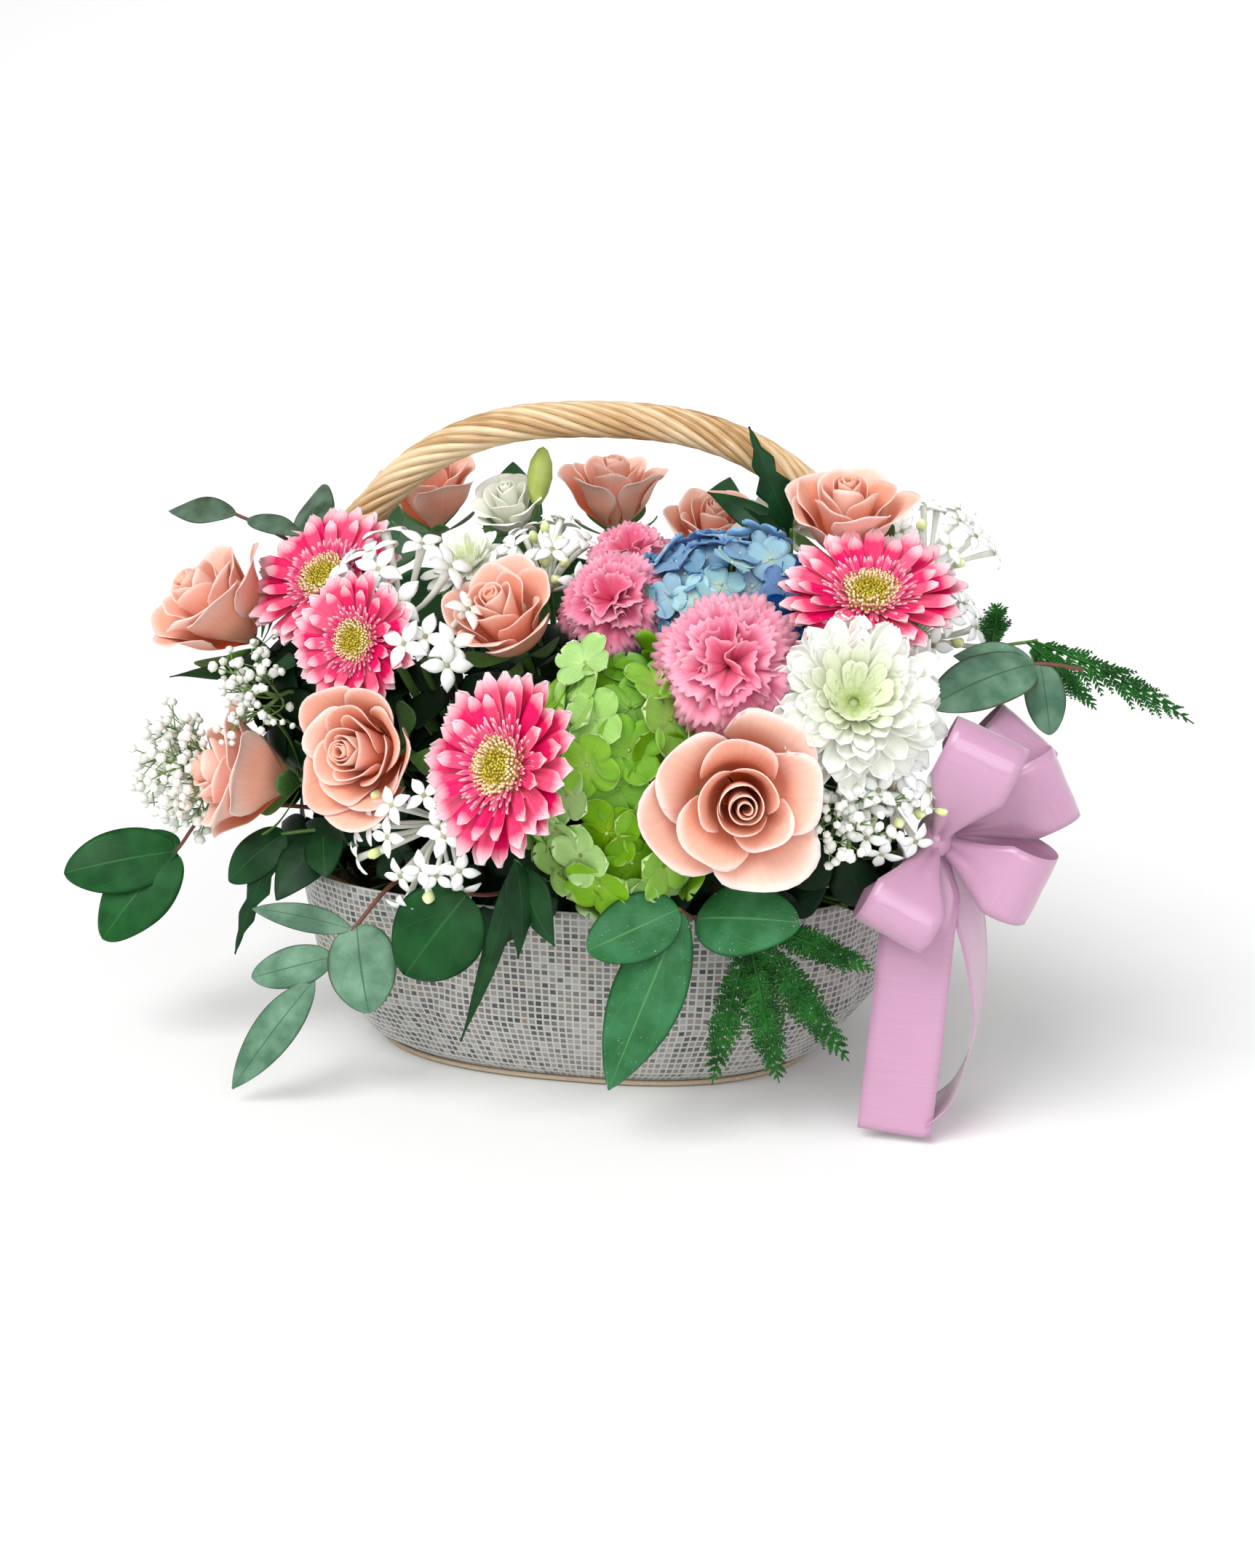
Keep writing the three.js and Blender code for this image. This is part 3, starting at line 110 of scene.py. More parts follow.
def facing(azimuth: float, elevation: float) -> Array:
    """The direction of a look: azimuth 0 is to the front, 90 to +X, and elevation is above level."""
    a, e = math.radians(azimuth), math.radians(elevation)
    return np.array([math.sin(a) * math.cos(e), -math.cos(a) * math.cos(e), math.sin(e)])


def across_and_along(count: int, rows: int, cols: int) -> tuple[Array, Array, Array]:
    """Each petal's number, u and v, which broadcast to (count, rows, cols)."""
    u, v = np.linspace(-1, 1, cols), np.linspace(0, 1, rows)
    return np.arange(count)[:, None, None], u[None, None, :], v[None, :, None]


def smooth_path(points: Sequence[Sequence[float]], steps: int) -> Array:
    """A Catmull-Rom curve through points, as steps + 1 points evenly spaced in its parameter."""
    p = np.asarray(points, float)
    p = np.vstack([2 * p[0] - p[1], p, 2 * p[-1] - p[-2]])
    s = np.linspace(0, len(p) - 3 - 1e-9, steps + 1)
    i = s.astype(int)
    t = (s - i)[:, None]
    a, b, c, d = p[i], p[i + 1], p[i + 2], p[i + 3]
    cubic = (-a + 3 * b - 3 * c + d) * t**3 + (2 * a - 5 * b + 4 * c - d) * t**2 + (c - a) * t + 2 * b
    return 0.5 * cubic


def spiral_directions(count: int, spread: float, offset: float = 0.4) -> Array:
    """Unit vectors on a golden-angle spiral round +Z, out to `spread` degrees from it."""
    i = np.arange(count)
    lean = math.radians(spread) * np.sqrt((i + offset) / count)
    turn = i * GOLDEN
    return np.stack([np.sin(lean) * np.cos(turn), np.sin(lean) * np.sin(turn), np.cos(lean)], -1)


def run_of(line: Array) -> Array:
    """The length so far at each point of a line."""
    return np.append(0, np.cumsum(np.linalg.norm(np.diff(line, axis=0), axis=1)))


def sampled(at: Array, stops: Array, points: Array) -> Array:
    """Points read off at places between stops, along straight runs."""
    return np.stack([np.interp(at, stops, column) for column in points.T], -1)


def side_and_up(face: Array, stretch: Array) -> tuple[Array, Array]:
    """The ways across and up from a leaf that runs along `stretch`, with its upper side towards `face`."""
    side = unit(np.cross(face, stretch))
    return side, unit(np.cross(stretch, side))


def look_axes(look: tuple[float, float], roll: float = 0.0) -> Array:
    """The x, y and z, as columns, of a thing that looks a way and is turned about it, in degrees."""
    z = facing(*look)
    x = unit(np.cross([0.0, 0.0, 1.0], z))
    y = np.cross(z, x)
    c, s = math.cos(math.radians(roll)), math.sin(math.radians(roll))
    return np.stack([c * x + s * y, c * y - s * x, z], -1)


def spiral_at(z: Array) -> Array:
    """Unit vectors at the heights given, on a golden-angle spiral round +Z."""
    ring, turn = np.sqrt(1 - z**2), np.arange(len(z)) * GOLDEN
    return np.stack([ring * np.cos(turn), ring * np.sin(turn), z], -1)


def about_z(x: Array, y: Array, z: Array, angle: Array) -> Array:
    """Points turned about +Z by an angle."""
    c, s = np.cos(angle), np.sin(angle)
    return stacked(x * c - y * s, x * s + y * c, z)


def axes_along(directions: Array, spin: Array | float = 0.0) -> Array:
    """Turned frames whose +Z lies along each direction.

    Args:
        directions: unit vectors, (P, 3).
        spin: how far each frame is turned about its own +Z, in radians.

    Returns:
        Matrices whose columns are the frames' x, y and z, (P, 3, 3).
    """
    z = unit(directions)
    ref = np.where(np.abs(z[:, 2:3]) < 0.9, [0.0, 0.0, 1.0], [1.0, 0.0, 0.0])
    x = unit(np.cross(ref, z))
    y = np.cross(z, x)
    c, s = (np.broadcast_to(wave(spin), len(z))[:, None] for wave in (np.cos, np.sin))
    return np.stack([c * x + s * y, c * y - s * x, z], -1)


# ---- finishes ----
def colour(code: str) -> tuple[float, float, float, float]:
    """A linear colour from an sRGB hex value."""
    srgb = np.array([int(code[i : i + 2], 16) / 255 for i in (1, 3, 5)])
    linear = np.where(srgb <= 0.04045, srgb / 12.92, ((srgb + 0.055) / 1.055) ** 2.4)
    return (*(float(c) for c in linear), 1.0)


def feed(node: Any, inputs: Inputs) -> None:
    """Gives a node's inputs, by name or number, each a value or another node's output."""
    for key, value in inputs.items():
        if isinstance(value, bpy.types.NodeSocket):
            node.id_data.links.new(value, node.inputs[key])
        else:
            node.inputs[key].default_value = value


def add_node(tree: bpy.types.NodeTree, kind: str, inputs: Inputs, **settings: Any) -> Any:
    """Adds a node with its settings and its links.

    Args:
        tree: the node tree.
        kind: the node's type, without "ShaderNode".
        inputs: what goes to its inputs.
        **settings: the node's own settings, and `ramp` for the stops of a colour ramp.

    Returns:
        The node's outputs.
    """
    node = tree.nodes.new("ShaderNode" + kind)
    ramp = settings.pop("ramp", None)
    for key, value in settings.items():
        setattr(node, key, value)
    if ramp:
        stops = node.color_ramp.elements
        for _ in ramp[len(stops) :]:
            stops.new(1.0)
        for stop, (position, code) in zip(stops, ramp):
            stop.position = position
            stop.color = colour(code)
    feed(node, inputs)
    return node.outputs


@dataclass(frozen=True)
class Finish:
    """A finish: its plain name, and the record's material slot that it belongs to."""

    name: str
    slot: str
    roughness: float = 0.6

    def material(self) -> bpy.types.Material:
        """The Blender material, made once."""
        made = bpy.data.materials.get(self.name)
        if made is None:
            made = bpy.data.materials.new(self.name)
            made.use_nodes = True
            inputs = self.paint(partial(add_node, made.node_tree))
            feed(made.node_tree.nodes["Principled BSDF"], {"Roughness": self.roughness} | inputs)
        return made

    def paint(self, add: Add) -> Inputs:
        """Adds the nodes that make the finish, and gives what goes to the shader's inputs."""
        raise NotImplementedError


def tone_of(add: Add) -> Any:
    """The three shares kept at each point: chance, heart and underside."""
    return add("SeparateXYZ", {0: add("Attribute", {}, attribute_name="tone")["Vector"]})


def uv_of(add: Add) -> tuple[Any, Any]:
    """The piece's own map as a vector, and its parts."""
    source = add("UVMap", {}, uv_map="UVMap")["UV"]
    return source, add("SeparateXYZ", {0: source})


@dataclass(frozen=True)
class Petal(Finish):
    """A living petal: thin, matt and a little see-through, so its colour glows where it is lit.

    Its colour runs from root to edge, deepens towards the bloom's heart, and is streaked by fine veins that
    fan out from the root. On hydrangeas the heart share marks shaded florets, and there the heart colour is
    painted shade.
    """

    root: str = "#ffffff"
    body: str = "#ffffff"
    edge: str = "#ffffff"
    heart: str = "#ffffff"
    back: str = ""
    body_at: float = 0.42
    edge_at: float = 0.8
    vary: float = 0.14
    veins: float = 0.1
    vein_count: float = 26.0
    glow: float = 0.16
    fade: float = 0.08

    def paint(self, add: Add) -> Inputs:
        """A ramp from root to edge on each side, the heart's colour, chance, and fanned veins."""
        source, (_, v, _) = uv_of(add)
        chance, heart, under = tone_of(add)
        ramp = [(0.0, self.root), (self.body_at, self.body), (self.edge_at, self.body), (1.0, self.edge)]
        inner = add("ValToRGB", {0: v}, ramp=ramp)[0]
        ramp = [(0.0, self.back or self.root), (0.6, self.back or self.body), (1.0, self.edge)]
        outer = add("ValToRGB", {0: v}, ramp=ramp)[0]
        base = add("Mix", {0: under, 6: inner, 7: outer}, data_type="RGBA")[2]
        deep = add("Mix", {0: heart, 6: base, 7: colour(self.heart)}, data_type="RGBA")[2]
        stretch = add("Mapping", {0: source, 3: (self.vein_count, 1.2, 1.0)})[0]
        streak = add("TexNoise", {0: stretch, "Scale": 1.0, "Detail": 2.0})[0]
        fan = add("MapRange", {0: streak, 1: 0.3, 2: 0.7, 3: 1 - self.veins, 4: 1 + self.veins})[0]
        luck = add("MapRange", {0: chance, 3: 1 - self.vary, 4: 1 + self.vary * 0.4})[0]
        share = add("Math", {0: fan, 1: luck}, operation="MULTIPLY")[0]
        faded = add("MapRange", {0: chance, 3: 1 + self.fade, 4: 1 - self.fade})[0]
        return {
            "Base Color": add("HueSaturation", {"Color": deep, "Value": share, "Saturation": faded})[0],
            "Normal": add("Bump", {"Height": streak, "Strength": 0.25, "Distance": 0.0004})[0],
            "Subsurface Weight": self.glow,
            "Subsurface Radius": (1.0, 0.5, 0.4),
            "Subsurface Scale": 0.003,
            "Specular IOR Level": 0.25,
        }


@dataclass(frozen=True)
class Leaf(Finish):
    """A leaf blade with a waxy skin: a pale midrib, side veins that leave it at a slant, and cloudy green."""

    upper: str = "#2c5e33"
    cloud: str = "#3f7a44"
    under: str = "#6b8f6a"
    rib: str = "#9fb87a"
    edge: str = "#24502a"
    vein_pairs: float = 7.0
    slant: float = 1.5

    def paint(self, add: Add) -> Inputs:
        """Cloudy colour, the midrib, slanted side veins, the edge and the underside."""
        _, (u, v, _) = uv_of(add)
        chance, _, under = tone_of(add)
        place = add("TexCoord", {})["Object"]
        cloud = add("TexNoise", {0: place, "Scale": 70.0, "Detail": 3.0})[0]
        spread = add("MapRange", {0: cloud, 1: 0.35, 2: 0.65})[0]
        top = add("Mix", {0: spread, 6: colour(self.upper), 7: colour(self.cloud)}, data_type="RGBA")[2]
        middle = add("Math", {0: u, 1: 0.5}, operation="SUBTRACT")[0]
        off = add("Math", {0: middle}, operation="ABSOLUTE")[0]
        lean = add("Math", {0: off, 1: -self.slant, 2: v}, operation="MULTIPLY_ADD")[0]
        wave = add("Math", {0: lean, 1: self.vein_pairs}, operation="MULTIPLY")[0]
        saw = add("Math", {0: wave, 1: 1.0}, operation="PINGPONG")[0]
        side = add("MapRange", {0: saw, 1: 0.0, 2: 0.08, 3: 0.22, 4: 0.0})[0]
        rib = add("MapRange", {0: off, 1: 0.004, 2: 0.02, 3: 0.9, 4: 0.0})[0]
        lines = add("Math", {0: side, 1: rib}, operation="MAXIMUM")[0]
        lined = add("Mix", {0: lines, 6: top, 7: colour(self.rib)}, data_type="RGBA")[2]
        rim = add("MapRange", {0: off, 1: 0.46, 2: 0.5})[0]
        edged = add("Mix", {0: rim, 6: lined, 7: colour(self.edge)}, data_type="RGBA")[2]
        both = add("Mix", {0: under, 6: edged, 7: colour(self.under)}, data_type="RGBA")[2]
        luck = add("MapRange", {0: chance, 3: 0.8, 4: 1.12})[0]
        return {
            "Base Color": add("HueSaturation", {"Color": both, "Value": luck})[0],
            "Normal": add("Bump", {"Height": lines, "Strength": 0.5, "Distance": 0.0002}, invert=True)[0],
            "Specular IOR Level": 0.15,
            "Subsurface Weight": 0.06,
            "Subsurface Radius": (0.4, 1.0, 0.3),
            "Subsurface Scale": 0.002,
        }


@dataclass(frozen=True)
class Speckled(Finish):
    """Anything green, woody or powdery whose colour only clouds from one shade to another."""

    dark: str = "#35522c"
    light: str = "#5c8a3c"
    grain: float = 300.0
    bump: float = 0.4
    metres: float = 0.0005

    def paint(self, add: Add) -> Inputs:
        """One noise that sets both the colour and a fine bump."""
        place = add("TexCoord", {})["Object"]
        grain = add("TexNoise", {0: place, "Scale": self.grain, "Detail": 4.0})[0]
        mixed = add("Math", {0: grain, 1: tone_of(add)[0]}, operation="ADD")[0]
        share = add("MapRange", {0: mixed, 1: 0.4, 2: 1.5})[0]
        return {
            "Base Color": add("ValToRGB", {0: share}, ramp=[(0.0, self.dark), (1.0, self.light)])[0],
            "Normal": add("Bump", {"Height": grain, "Strength": self.bump, "Distance": self.metres})[0],
        }


@dataclass(frozen=True)
class Cane(Finish):
    """Peeled and varnished willow: honey-coloured, with long fine grain along the cane and darker patches."""

    dark: str = "#7f5226"
    light: str = "#e9d0a8"

    def paint(self, add: Add) -> Inputs:
        """Grain stretched along the cane, and a cloud of darker stretches."""
        stretch = add("Mapping", {0: uv_of(add)[0], 3: (9.0, 0.35, 1.0)})[0]
        grain = add("TexNoise", {0: stretch, "Scale": 2.0, "Detail": 6.0})[0]
        place = add("TexCoord", {})["Object"]
        patch = add("TexNoise", {0: place, "Scale": 22.0, "Detail": 2.0})[0]
        part = add("Math", {0: patch, 1: tone_of(add)[0], 2: grain}, operation="MULTIPLY_ADD")[0]
        share = add("MapRange", {0: part, 1: 0.36, 2: 0.98})[0]
        ramp = [(0.0, self.dark), (0.5, "#c59d68"), (1.0, self.light)]
        return {
            "Base Color": add("ValToRGB", {0: share}, ramp=ramp)[0],
            "Normal": add("Bump", {"Height": grain, "Strength": 0.35, "Distance": 0.0004})[0],
            "Coat Weight": 0.25,
            "Coat Roughness": 0.25,
        }


@dataclass(frozen=True)
class Satin(Finish):
    """Polyester satin ribbon: smooth and lilac pink, with a soft streaked shine across its floats."""

    body: str = "#bd8eac"
    pale: str = "#c192b0"

    def paint(self, add: Add) -> Inputs:
        """Fine threads across the band, in two close shades."""
        stretch = add("Mapping", {0: uv_of(add)[0], 3: (1.5, 90.0, 1.0)})[0]
        thread = add("TexNoise", {0: stretch, "Scale": 1.0, "Detail": 1.0})[0]
        return {
            "Base Color": add("ValToRGB", {0: thread}, ramp=[(0.3, self.body), (0.75, self.pale)])[0],
            "Normal": add("Bump", {"Height": thread, "Strength": 0.02, "Distance": 0.0002})[0],
            "Sheen Weight": 0.3,
            "Specular IOR Level": 0.7,
            "Anisotropic": 0.6,
        }


@dataclass(frozen=True)
class PrintedCloth(Finish):
    """Stiff florist's cloth with a silvery sheen, printed with a small grid of squares in greys and beiges."""

    pitch: float = 4.0
    pale: str = "#aea9a4"
    lines: str = "#b8b8b2"

    def paint(self, add: Add) -> Inputs:
        """Squares with their own chance shade, pale lines between, and faded patches."""
        pitch = (self.pitch, self.pitch, 1.0)
        cells = add("VectorMath", {0: uv_of(add)[0], 1: pitch}, operation="DIVIDE")[0]
        whole = add("VectorMath", {0: cells}, operation="FLOOR")[0]
        part = add("VectorMath", {0: cells}, operation="FRACTION")[0]
        chance = add("TexWhiteNoise", {0: whole}, noise_dimensions="2D")[0]
        starts = (0.0, 0.16, 0.32, 0.46, 0.6, 0.74, 0.88)
        inks = ("#37373a", "#4c4c4e", "#62605f", "#736f6a", "#86796e", "#858482", "#9b9b98")
        ink = add("ValToRGB", {0: chance}, ramp=list(zip(starts, inks)))[0]
        ink.node.color_ramp.interpolation = "CONSTANT"
        place = add("TexCoord", {})["Object"]
        cloud = add("TexNoise", {0: place, "Scale": 26.0, "Detail": 2.0})[0]
        fade = add("MapRange", {0: cloud, 1: 0.44, 2: 0.7, 3: 0.0, 4: 0.4})[0]
        square = add("Mix", {0: fade, 6: ink, 7: colour(self.pale)}, data_type="RGBA")[2]
        x, y, _ = add("SeparateXYZ", {0: part})
        far_x = add("Math", {0: x, 1: 0.5, 2: 0.37}, operation="COMPARE")[0]
        far_y = add("Math", {0: y, 1: 0.5, 2: 0.35}, operation="COMPARE")[0]
        inside = add("Math", {0: far_x, 1: far_y}, operation="MULTIPLY")[0]
        return {
            "Base Color": add("Mix", {0: inside, 6: colour(self.lines), 7: square}, data_type="RGBA")[2],
            "Roughness": add("MapRange", {0: inside, 3: 0.34, 4: 0.6})[0],
            "Normal": add("Bump", {"Height": inside, "Strength": 0.3, "Distance": 0.0002})[0],
            "Sheen Weight": 0.3,
        }


@dataclass(frozen=True)
class Water(Finish):
    """Drops left by a mist of water: clear, with one bright glint each."""

    def paint(self, add: Add) -> Inputs:
        """The values of clear water."""
        return {"Base Color": colour("#f4fbff"), "Transmission Weight": 0.9, "IOR": 1.33}


ROSE = Petal(
    "Rose petal", "petal_peach", 0.6, "#f2742f", "#ffbda8", "#ffdcd3", "#f8915a", "#ffb39c", 0.76, 0.88,
    veins=0.05, glow=0.3, fade=0.12,
)
ROSE_PALE = replace(
    ROSE, name="Pale rose petal", body="#ffc7b5", edge="#ffe4de", back="#ffc9b9", heart="#fba270"
)
GERBERA_RAY = Petal(
    "Gerbera ray", "petal_pink", 0.55, "#cf1643", "#ee3a70", "#fde2e8", "#ee5f88", "#f68fb0", 0.5, 0.76,
    veins=0.2,
)
GERBERA_FRINGE = replace(GERBERA_RAY, name="Gerbera fringe", root="#e2316f", body="#ee4f86", edge="#fbdbe4")
GERBERA_CREAM = Petal("Gerbera disc floret", "petal_pink", 0.7, "#efc684", "#fbe0ac", "#fdf1d0", "#e9d77a")
CARNATION = Petal("Carnation petal", "petal_coral", 0.65, "#dd4a70", "#ec7898", "#f7b4c8", "#e25a80", "#f092ac")
MUM = Petal(
    "Chrysanthemum petal", "petal_cream", 0.6, "#c9d88c", "#f9fbee", "#fffffc", "#c3d85e", veins=0.03, vary=0.08
)
LISIANTHUS = Petal(
    "Lisianthus petal", "petal_cream", 0.6, "#dfe8b8", "#f7f7ea", "#fdfcf6", "#e3ebc0", veins=0.05
)
BOUVARDIA = Petal(
    "Bouvardia petal", "petal_white", 0.5, "#e8eedd", "#fbfcfb", "#ffffff", "#eff5ea", veins=0.04, vary=0.06
)
BOUVARDIA_TUBE = Petal("Bouvardia tube", "petal_white", 0.5, "#b9cc84", "#e6eecf", "#f6f9ee", "#f1f5e8")
BOUVARDIA_BUD = Petal("Bouvardia bud", "petal_white", 0.5, "#b4cc60", "#e3edaa", "#f6f9dc", "#d3e08e")
# The hydrangeas' heart colours are painted shade on their shaded florets; the blue one is also the head's own
# deeper blue.
LIME = Petal(
    "Lime hydrangea", "petal_lime", 0.6, "#b4da68", "#8dc542", "#c4e594", "#468a1a", "#9dcb62",
    vary=0.42, fade=0.3,
)
BLUE = Petal(
    "Blue hydrangea", "petal_blue", 0.6, "#d8eabf", "#a6d2d6", "#7eb3dc", "#2a5cae", "#7aa9d4",
    vary=0.3, fade=0.15,
)
GYPSOPHILA = Petal("Gypsophila bloom", "petal_pale", 0.7, "#e4ead4", "#f6f8f0", "#ffffff", "#e4ecd0", vary=0.1)
WOODY_GREEN = Speckled("Green stem", "leaf_green", 0.55, "#365425", "#5f8c3c")
TWIG_GREEN = Speckled("Gypsophila twig", "petal_pale", 0.6, "#56763a", "#7f9f55")
RED_STEM = Speckled("Eucalyptus twig", "leaf_pale", 0.6, "#4c2a20", "#7f4c3a")
CALYX = Speckled("Rose sepal", "petal_peach", 0.6, "#2f5a28", "#5d8a3c")
HEART_GREEN = Speckled("Chrysanthemum cup", "petal_cream", 0.6, "#b9cc86", "#d8e3b4")
PISTIL = Speckled("Gerbera heart", "petal_pink", 0.8, "#a8941c", "#e3d04c", grain=500.0, bump=0.8)
# The grey-brown throat plug is painted shade in each star's open tube.
THROAT_SHADE = Speckled("Bouvardia throat shade", "petal_white", 0.8, "#8d8468", "#b9b08e")
LIS_BUD = Speckled("Lisianthus bud", "petal_cream", 0.55, "#8fa83a", "#c9d77a", grain=120.0)
GUM = partial(Leaf, slant=0.9)
BLUE_GUM = GUM("Pale eucalyptus leaf", "leaf_pale", 0.5, "#4a7059", "#70957b", "#7fa38c", "#3b5640", "#4b3d30")
GREEN_GUM = GUM(
    "Green eucalyptus leaf", "leaf_green", 0.45, "#286435", "#3b7a4e", "#64906f", "#5a9058", "#1b4522"
)
DARK_GUM = GUM("Dark eucalyptus leaf", "leaf_green", 0.42, "#10431b", "#1b5626", "#44704c", "#2f6a36", "#0c3015")
DUSKY_GUM = GUM("Dusky eucalyptus leaf", "leaf_pale", 0.5, "#34452c", "#58715f", "#7c9488", "#4b5c3f", "#2b3420")
SALAL = Leaf("Dark leaf", "leaf_dark", 0.38, "#11331a", "#1c4724", "#355a38", "#2f5c30", "#0e2612")
# Near-black leaf for the filler leaves: painted shade for the gaps between the blooms.
GAP_SHADE_LEAF = Leaf("Leaf dark as painted shade", "leaf_dark", 0.5, "#0a200d", "#103016", "#14331a", "#173a1a", "#08180b")
RUSCUS = Leaf("Toothed leaf", "leaf_dark", 0.36, "#0d3017", "#154321", "#315637", "#24522a", "#0b2611", 9.0)
FERN_GREEN = Leaf("Fern leaflet", "fern_green", 0.45, "#0d3f12", "#236623", "#27602a", "#458c35", "#0f4016", 5.0)
WILLOW = Cane("Peeled willow", "willow_cane", 0.38)
WICKER = Cane("Basket willow", "willow_basket", 0.5, "#7d5326", "#c79a5c")
SATIN = Satin("Satin ribbon", "satin", 0.24)
CLOTH = PrintedCloth("Printed cloth", "printed_cloth", 0.5)
HEM = Speckled("Turned hem", "printed_cloth", 0.8, "#a08a70", "#c9b79c", grain=600.0)
WET_FOAM = Speckled("Wet floral foam", "foam", 0.95, "#1f3f24", "#3a6a3c", grain=900.0, bump=0.9, metres=0.001)
MOULDED = Speckled("Moulded liner", "liner", 0.4, "#3c403e", "#4d5250", grain=1200.0, bump=0.1)
DEW = Water("Water drop", "leaf_pale", 0.03)


# ---- closed shapes ----
def grid_quads(rows: int, cols: int, closed: bool = False) -> Array:
    """The faces of a grid of points numbered row by row, joined round on itself if it is closed."""
    r = np.arange(rows - 1)[:, None]
    c = np.arange(cols if closed else cols - 1)[None, :]
    n = (c + 1) % cols
    return stacked(r * cols + c, r * cols + n, (r + 1) * cols + n, (r + 1) * cols + c).reshape(-1, 4)


def end_fans(rows: int, cols: int) -> Array:
    """The triangles that close both ends of a closed grid, whose two poles are numbered after its points."""
    k = np.arange(cols)
    after, last = (k + 1) % cols, (rows - 1) * cols
    poles = rows * cols, rows * cols + 1
    return np.concatenate([stacked(after, k, poles[0]), stacked(last + k, last + after, poles[1])])


def outward(points: Array, faces: Array) -> Array:
    """Faces turned round in each solid whose volume they give is less than nothing.

    Args:
        points: (P, V, 3), the points of P solids.
        faces: (P, F, 3 or 4), the faces of each, as numbers of its own points.

    Returns:
        The faces, the same in shape.
    """
    index = np.arange(len(points))[:, None]
    a, b, c = (points[index, faces[..., k]] for k in range(3))
    volume = np.einsum("pfk,pfk->p", a, np.cross(b, c))
    if faces.shape[-1] == 4:
        volume += np.einsum("pfk,pfk->p", a, np.cross(c, points[index, faces[..., 3]]))
    return np.where((volume < 0)[:, None, None], faces[..., ::-1], faces)


@dataclass
class Shape:
    """Closed surfaces of one finish: points, faces, their map, and the three shares a finish reads."""

    points: Array
    faces: list[Array]
    uv: Array
    tone: Array
    finish: Finish

    def placed(self, axes: Array, origin: Array) -> Shape:
        """The shape carried to a frame whose axes are the columns of `axes`."""
        return replace(self, points=self.points @ np.asarray(axes).T + np.asarray(origin))

    def repeated(self, axes: Array, origins: Array, chance: Array, heart: Array | float = 0.0) -> Shape:
        """One copy of the shape in each of P frames.

        Args:
            axes: (P, 3, 3), whose columns are each frame's x, y and z.
            origins: (P, 3).
            chance: (P,), each copy's own chance share.
            heart: each copy's heart share.

        Returns:
            All the copies as one shape.
        """
        copies, size = len(origins), len(self.points)
        points = np.einsum("pij,vj->pvi", axes, self.points) + origins[:, None]
        tone = np.repeat(self.tone[None], copies, 0)
        tone[..., 0] = np.asarray(chance)[:, None]
        tone[..., 1] = np.maximum(tone[..., 1], np.broadcast_to(heart, copies)[:, None])
        shift = (np.arange(copies) * size)[:, None, None]
        faces = [(f[None] + shift).reshape(-1, f.shape[-1]) for f in self.faces]
        uv = np.tile(self.uv, (copies, 1))
        return Shape(points.reshape(-1, 3), faces, uv, tone.reshape(-1, 3), self.finish)


def blades(middle: Array, thickness: float, finish: Finish, chance: Array, heart: Array | float = 0.0) -> Shape:
    """Petals or leaves as closed shells: each middle surface, moved half a thickness each way along its normal.

    Args:
        middle: (P, rows, cols, 3), the middle surfaces.
        thickness: how thick they are; the edges are a third of it.
        finish: their finish.
        chance: (P,), each one's own chance share.
        heart: how much each shows the colour of the bloom's heart.

    Returns:
        All the blades as one shape.
    """
    count, rows, cols, _ = middle.shape
    normal = unit(np.cross(np.gradient(middle, axis=1), np.gradient(middle, axis=2)))
    u, v = np.linspace(-1, 1, cols), np.linspace(0, 1, rows)[:, None]
    half = 0.5 * thickness * (1 - 0.66 * u**4)[:, None]
    ring = np.concatenate([middle + normal * half, (middle - normal * half)[:, :, ::-1]], axis=2)
    points = ring.reshape(count, -1, 3)
    j = np.arange(cols - 1)
    first = np.stack([j + 1, j, 2 * cols - 1 - j, 2 * cols - 2 - j], -1)
    last = (rows - 1) * 2 * cols + first[:, ::-1]
    faces = np.concatenate([grid_quads(rows, 2 * cols, closed=True), first, last])
    faces = outward(points, np.broadcast_to(faces, (count, *faces.shape)))
    faces = faces + (np.arange(count) * 2 * rows * cols)[:, None, None]
    whole = (count, rows, 2 * cols)
    shares = [np.broadcast_to(share, count)[:, None, None] for share in (chance, heart)]
    tone = np.stack([np.broadcast_to(x, whole) for x in (*shares, np.repeat([0.0, 1.0], cols))], -1)
    around = np.concatenate([u, u[::-1]]) * 0.5 + 0.5
    uv = np.stack([np.broadcast_to(x, whole) for x in (around, v)], -1)
    return Shape(points.reshape(-1, 3), [faces.reshape(-1, 4)], uv.reshape(-1, 2), tone.reshape(-1, 3), finish)


